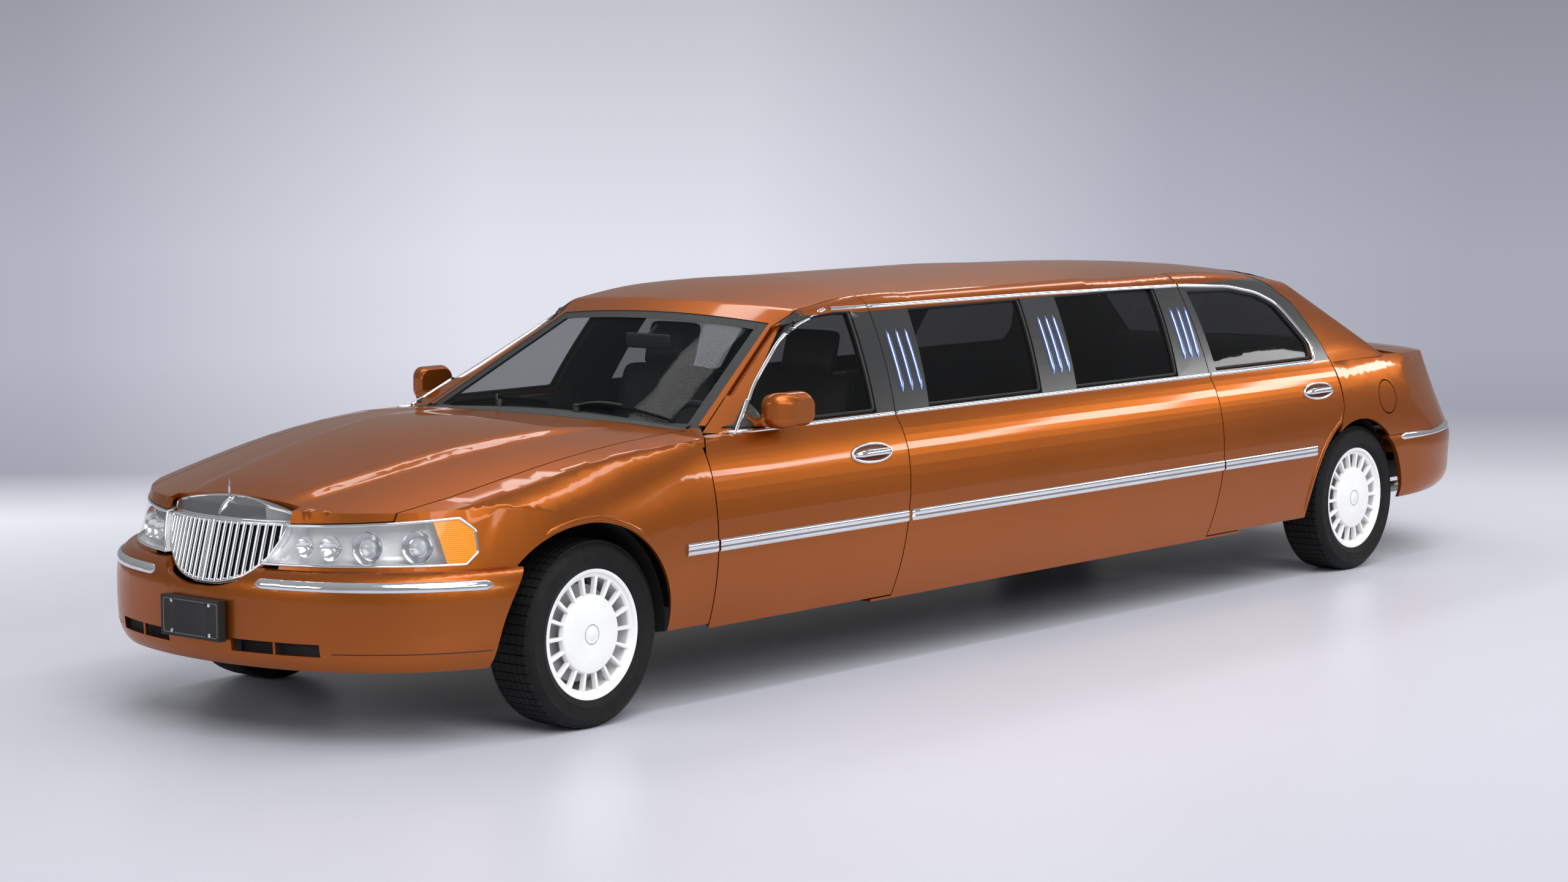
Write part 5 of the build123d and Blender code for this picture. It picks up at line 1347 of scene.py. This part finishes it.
def makeScreenBorders():
    for name, width, inward, rise in screenBorders:
        bm = mergedCopy(name)
        way = -1 if name == "windshield" else 1
        faces = {face for face in bm.faces if face.normal.x * way > 0.15 and face.normal.z > -0.2}
        loop = faceLoops(bm, faces)[0]
        bm.free()
        band = [(rise - 0.0008, width), (rise, width), (rise, -width), (rise - 0.0008, -width)]
        stripPiece(name + "Border", blackPlastic, band, evenLoop(loop, 0.03, inward), "root", closed=True)


makeScreenBorders()

wiper = {
    # y where each blade starts and ends, height there, and the pivot
    "blades": [(0.60, 1.012, 0.06, 1.052, 0.30), (-0.06, 1.052, -0.60, 1.012, -0.12)],
    "blade": [(0.002, 0.0035), (0.012, 0.0022), (0.015, 0), (0.012, -0.0022), (0.002, -0.0035)],
    "arm": 0.011, "pivot": [(0.014, -0.03), (0.014, 0.018), (0.010, 0.024), (0.0001, 0.025)],
}


def makeWipers(spec):
    tree = castTree(["windshield", "cowl", "hood"])[0]
    for n, (y0, z0, y1, z1, pivotY) in enumerate(spec["blades"]):
        rays = [(Vector((-4, y0 + (y1 - y0) * k / 24, z0 + (z1 - z0) * k / 24 + 0.014 * sin(pi * k / 24))),
                 Vector((1, 0, 0))) for k in range(25)]
        run = []
        for origin, direction in rays:
            place, normal = glassTree[0].ray_cast(origin, direction)[:2]
            if place is not None:
                run.append((place, normal))
        if len(run) < 4:
            print("wiper", n, "misses the glass")
            continue
        stripPiece(f"wiperBlade_{n}", sealRubber, spec["blade"], run, "root", taper=2)
        mid, out = run[len(run) // 2]
        foot = tree.ray_cast(Vector((run[-1][0].x - 0.03, pivotY, 2)), down)[0] or mid
        lift = [(foot.lerp(mid, k / 8) + out * (0.018 + 0.016 * sin(pi * k / 8)), out) for k in range(9)]
        stripPiece(f"wiperArm_{n}", blackPlastic, roundBar(spec["arm"], spec["arm"] * 0.7, 8), lift, "root")
        frame = frameAt(foot, (0, 0, 1), (0, 1, 0))
        turnedPiece(f"wiperPivot_{n}", blackPlastic, spec["pivot"], frame, "root", 20)


makeWipers(wiper)

padForms = {
    # width, length, thickness, crown, channels across
    "cushion": (0.50, 0.48, 0.15, 0.035, 3), "back": (0.50, 0.60, 0.13, 0.030, 3),
    "head": (0.27, 0.19, 0.10, 0.022, 0), "bench": (1.26, 0.50, 0.15, 0.035, 5),
    "benchBack": (1.26, 0.42, 0.12, 0.03, 5), "side": (1.76, 0.36, 0.15, 0.03, 8),
    "sideBack": (1.76, 0.30, 0.10, 0.025, 8),
}


padShape = {
    "cuts": 15, "edge": 0.014, "cornerPull": 0.035, "channelDeep": 0.007, "channelTight": 26, "outer": 0.99,
    "shoulder": 0.62, "underside": 0.2, "smooth": 0.4,
}


def makePad(name, form, frame, replaced):
    # a crowned pad with pulled-in corners and sewn channels; x across, y out, z along
    wide, long, thick, crown, channels = padForms[form]
    edge, outer, shoulder = padShape["edge"], padShape["outer"], padShape["shoulder"]
    bm = bmesh.new()
    bmesh.ops.create_cube(bm, size=2)
    bmesh.ops.subdivide_edges(bm, edges=bm.edges[:], cuts=padShape["cuts"], use_grid_fill=True)
    for vert in bm.verts:
        x, y, z = vert.co
        full = (1 - x ** 6) * (1 - z ** 6)
        plan = 1 - padShape["cornerPull"] * (x ** 4) * (z ** 4)
        middles = [2 * (k + 1) / (channels + 1) - 1 for k in range(channels)]
        seam = sum(1 / (1 + ((x - middle) * wide * padShape["channelTight"]) ** 2) for middle in middles)
        swell = crown * (1 - x ** 4) * (1 - z ** 4) - padShape["channelDeep"] * seam * (1 - z ** 4)
        bulge = edge * (1 - y * y)
        vert.co.x = x * (wide / 2 - edge) * plan + bulge * (x if abs(x) > outer else 0)
        vert.co.z = z * (long / 2 - edge) * plan + bulge * (z if abs(z) > outer else 0)
        lift = swell if y > outer else -swell * padShape["underside"] if y < -outer else 0
        vert.co.y = y * (thick / 2 - crown * 0.6) * (shoulder + (1 - shoulder) * full) + lift
    bmesh.ops.smooth_vert(bm, verts=bm.verts, factor=padShape["smooth"], use_axis_x=True, use_axis_y=True,
                          use_axis_z=True)
    bmesh.ops.transform(bm, matrix=frame, verts=bm.verts)
    obj = settle(bm, name, darkLeather, "root", 0)
    obj.data.shade_smooth()
    skin = obj.modifiers.new("round", "SUBSURF")
    skin.levels = skin.render_levels = 1
    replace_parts(obj, replaced)


seatPlaces = {"y": 0.375, "cushion": (-1.275, 0.545), "back": (-1.000, 0.83), "head": (-0.900, 1.200),
              "lean": 17, "baseLow": 0.350, "baseHigh": 0.475, "baseSize": (0.40, 0.38)}


def makeSeats(spec):
    lean = radians(spec["lean"])
    backOut = Vector((-cos(lean), 0, sin(lean)))
    for side, tag in sides.items():
        y = side * spec["y"]
        x, z = spec["cushion"]
        makePad(f"seatCushion_{tag}", "cushion", frameAt((x, y, z), (-0.12, 0, 1), (1, 0, 0.12)), "front_seats")
        x, z = spec["back"]
        makePad(f"seatBack_{tag}", "back", frameAt((x, y, z), backOut), "front_seats")
        x, z = spec["head"]
        makePad(f"headRest_{tag}", "head", frameAt((x, y, z), backOut), "front_seats")
        for post in (-1, 1):
            foot = Vector((x - 0.012, y + post * 0.06, z - 0.19))
            run = [(foot + Vector((0.012 + 0.035, 0, 0.13)) * (k / 4), forward) for k in range(5)]
            stripPiece(f"headPost_{tag}_{post + 1}", chrome, roundBar(0.012, 0.012, 8), run, "root")
        bm = bmesh.new()
        addBlock(bm, (*spec["baseSize"], spec["baseHigh"] - spec["baseLow"]))
        top = [face for face in bm.faces if face.normal.z > 0.5]
        bmesh.ops.inset_region(bm, faces=top, thickness=0.02, depth=0.008)
        roundEdges(bm, bm.edges[:], 0.012, 3)
        middle = (spec["cushion"][0], y, (spec["baseLow"] + spec["baseHigh"]) / 2)
        bmesh.ops.translate(bm, vec=middle, verts=bm.verts)
        settle(bm, f"seatBase_{tag}", trimPlastic, "root")


makeSeats(seatPlaces)

benchPlaces = {"rearX": 2.18, "rearZ": 0.665, "backX": 2.50, "backZ": 0.86, "sideX": 0.245, "sideY": 0.52,
               "sideZ": 0.615, "sideBackY": 0.72, "sideBackZ": 0.82}


def makeBenches(spec):
    makePad("rearCushion", "bench", frameAt((spec["rearX"], 0, spec["rearZ"]), (-0.06, 0, 1), (1, 0, 0.06)),
            "rear_bench")
    makePad("rearBack", "benchBack", frameAt((spec["backX"], 0, spec["backZ"]), (-0.94, 0, 0.34)), "rear_bench")
    makePad("sideCushion", "side", frameAt((spec["sideX"], spec["sideY"], spec["sideZ"]), (0, -0.05, 1),
                                           (0, 1, 0.05)), "side_bench")
    makePad("sideBack", "sideBack", frameAt((spec["sideX"], spec["sideBackY"], spec["sideBackZ"]),
                                            (0, -0.96, 0.28)), "side_bench")
    for name, centre, size in (("rearBenchBase", (2.22, 0, 0.56), (0.70, 1.24, 0.075)),
                               ("sideBenchBase", (spec["sideX"], 0.54, 0.44), (1.78, 0.38, 0.18))):
        bm = bmesh.new()
        addBlock(bm, size)
        front = [face for face in bm.faces if abs(face.normal.z) < 0.5]
        bmesh.ops.inset_individual(bm, faces=front, thickness=0.02, depth=-0.006)
        roundEdges(bm, bm.edges[:], 0.004, 2)
        bmesh.ops.translate(bm, vec=centre, verts=bm.verts)
        settle(bm, name, trimPlastic, "root")


makeBenches(benchPlaces)


innerMirror = {"size": (0.022, 0.235, 0.062), "edge": 0.0105, "tip": -8, "place": (-1.455, 0, 1.262)}


def makeInnerMirror(spec):
    bm = bmesh.new()
    addBlock(bm, spec["size"])
    roundEdges(bm, bm.edges[:], spec["edge"], 4)
    bmesh.ops.rotate(bm, matrix=Matrix.Rotation(radians(spec["tip"]), 3, "Y"), verts=bm.verts)
    bmesh.ops.translate(bm, vec=spec["place"], verts=bm.verts)
    for face in bm.faces:
        face.material_index = int(face.normal.x > 0.9)
    settle(bm, "innerMirror", blackPlastic, "root", extra=(mirrorGlass,))
    run = [(Vector((-1.455 + 0.012 * k, 0, 1.285 + 0.009 * k)), forward) for k in range(5)]
    stripPiece("innerMirrorStem", blackPlastic, roundBar(0.014, 0.014, 8), run, "root")


makeInnerMirror(innerMirror)
print("screens, wipers and cabin made")

# ---- body panels ----
hoodRidge = {"cowlX": -2.20, "noseX": -3.66, "cowlY": 0.565, "noseY": 0.300, "rise": 0.014, "blend": 0.085,
             "step": 0.045}


def smoothStep(t):
    t = min(1.0, max(0.0, t))
    return t * t * (3 - 2 * t)


def shapeHood(spec):
    # the middle of the hood stands up between two ridges that run back from the grille
    bm = mergedCopy("hood")
    x = spec["noseX"]
    while x < -2.09:
        sliced(bm, (x, 0, 0), (1, 0, 0))
        x += spec["step"]
    for k in range(-7, 8):
        sliced(bm, (0, k * spec["step"] * 2, 0), (0, 1, 0))
    slope = (spec["noseY"] - spec["cowlY"]) / (spec["noseX"] - spec["cowlX"])
    for side in (-1, 1):
        for offset in (-spec["blend"], -spec["blend"] * 0.66, -spec["blend"] * 0.33, 0.0):
            sliced(bm, (spec["cowlX"], side * (spec["cowlY"] + offset), 0), (-slope, side, 0))
    tops = {v for face in bm.faces if face.normal.z > 0.3 for v in face.verts}
    for vert in tops:
        ridge = spec["cowlY"] + slope * (vert.co.x - spec["cowlX"])
        across = smoothStep((ridge - abs(vert.co.y)) / spec["blend"])
        along = smoothStep((vert.co.x - spec["noseX"]) / 0.25) * smoothStep((spec["cowlX"] - vert.co.x) / 0.35)
        vert.co.z += spec["rise"] * across * along
    hood = settle(bm, "hoodSkin", paint, bodyOf("hood"), 24)
    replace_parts(hood, "hood")


shapeHood(hoodRidge)

nodeFinish = {
    "front_fenders": paint, "side_panels": paint, "quarter_panels": paint, "trunk_lid": paint,
    "fuel_flap": paint, "front_bumper": paint, "rear_bumper": paint, "mirror_left": paint,
    "mirror_right": paint, "roof": paint, "cowl": blackPlastic, "pillars": pillarSatin,
    "door_front_left": paint, "door_front_right": paint, "door_rear_left": paint, "door_rear_right": paint,
    "side_windows": tintedGlass, "rear_window": tintedGlass, "windshield": clearGlass,
    "door_front_left_glass": doorGlass, "door_front_right_glass": doorGlass,
    "door_rear_left_glass": tintedGlass, "door_rear_right_glass": tintedGlass,
    "tail_lamps": redLens, "grille": linerPlastic, "grille_header": headerSatin,
    "front_suspension": framePaint, "rear_axle": framePaint,
    "driveshaft": framePaint, "chassis_frame": framePaint, "knuckle_left": castMetal,
    "knuckle_right": castMetal, "floor_pan": framePaint, "engine_block": castMetal,
    "exhaust_pipes": exhaustSteel, "mufflers": exhaustSteel, "tail_pipes": exhaustSteel,
    "fuel_tank": blackPlastic, "dashboard": trimPlastic, "steering_wheel": trimPlastic,
    "wheel_liners": linerPlastic,
}


def facesCabin(centre, normal):
    # inside faces of the doors, walls and roof
    flank = abs(centre.y) < 0.9 and normal.y * centre.y < -0.02 and -2.15 < centre.x < 2.9
    ceiling = normal.z < -0.35 and abs(centre.y) < 0.64 and -1.7 < centre.x < 2.9
    return flank or ceiling


def facesBack(centre, normal):
    # the glass of a door mirror
    return normal.x > 0.75 and abs(centre.y) > 0.9


windowFoot, windowTop = 0.996, 1.378
cowlEdge = 0.72  # the cowl is painted outside this


def facesWindow(centre, normal):
    # the door frames round the glass
    return windowFoot < centre.z < windowTop and abs(normal.y) > 0.5


pillarLine = {"place": (-1.672, 0.738, 1.140), "normal": (0.377, 0.912, 0.057)}


def pillarCut(side):
    place, normal = pillarLine["place"], pillarLine["normal"]
    return (place[0], side * place[1], place[2]), (normal[0], side * normal[1], normal[2])


def onPillar(side):
    # the sloping faces inboard of the bright trim beside the windshield
    place, normal = (Vector(v) for v in pillarCut(side))
    return lambda centre, facing: abs(facing.x) > 0.3 and centre.z > 0.97 and (centre - place).dot(normal) < 0


def offPillar(side):
    place, normal = (Vector(v) for v in pillarCut(side))
    return lambda centre, facing: facing.x < -0.3 and centre.z > windowFoot and (centre - place).dot(normal) > 0


def cowlCorner(centre, normal):
    return abs(centre.y) > cowlEdge


picks = {name: [(trimPlastic, facesCabin)] for name in
         ("door_front_left", "door_front_right", "door_rear_left", "door_rear_right", "side_panels", "pillars")}
picks["roof"] = [(headliner, facesCabin)]
picks["mirror_left"] = picks["mirror_right"] = [(mirrorGlass, facesBack)]
picks["cowl"] = [(paint, cowlCorner)]
cuts = {"cowl": [((0, y, 0), (0, 1, 0)) for y in (-cowlEdge, cowlEdge)]}
bandCuts = [((0, 0, z), (0, 0, 1)) for z in (windowFoot, windowTop)]
for side, tag in sides.items():
    picks["door_front_" + tag] += [(pillarSatin, facesWindow), (blackPlastic, offPillar(side))]
    picks["door_rear_" + tag] += [(pillarSatin, facesWindow)]
    picks[f"door_front_{tag}_glass"] = [(paint, onPillar(side))]
    cuts["door_front_" + tag] = [*bandCuts, pillarCut(side)]
    cuts["door_rear_" + tag] = bandCuts
    cuts[f"door_front_{tag}_glass"] = [pillarCut(side)]
keptPlain = ["front_suspension", "rear_axle", "driveshaft", "chassis_frame", "knuckle_left", "knuckle_right",
             "floor_pan", "engine_block", "exhaust_pipes", "mufflers", "tail_pipes", "fuel_tank", "grille",
             "steering_wheel", "wheel_liners"]
for name, finish in nodeFinish.items():
    if name in keptPlain:
        nodes[name].data.materials.clear()
        nodes[name].data.materials.append(finish)
    else:
        dressNode(name, finish, picks.get(name, ()), cuts.get(name, ()))
print("body dressed")
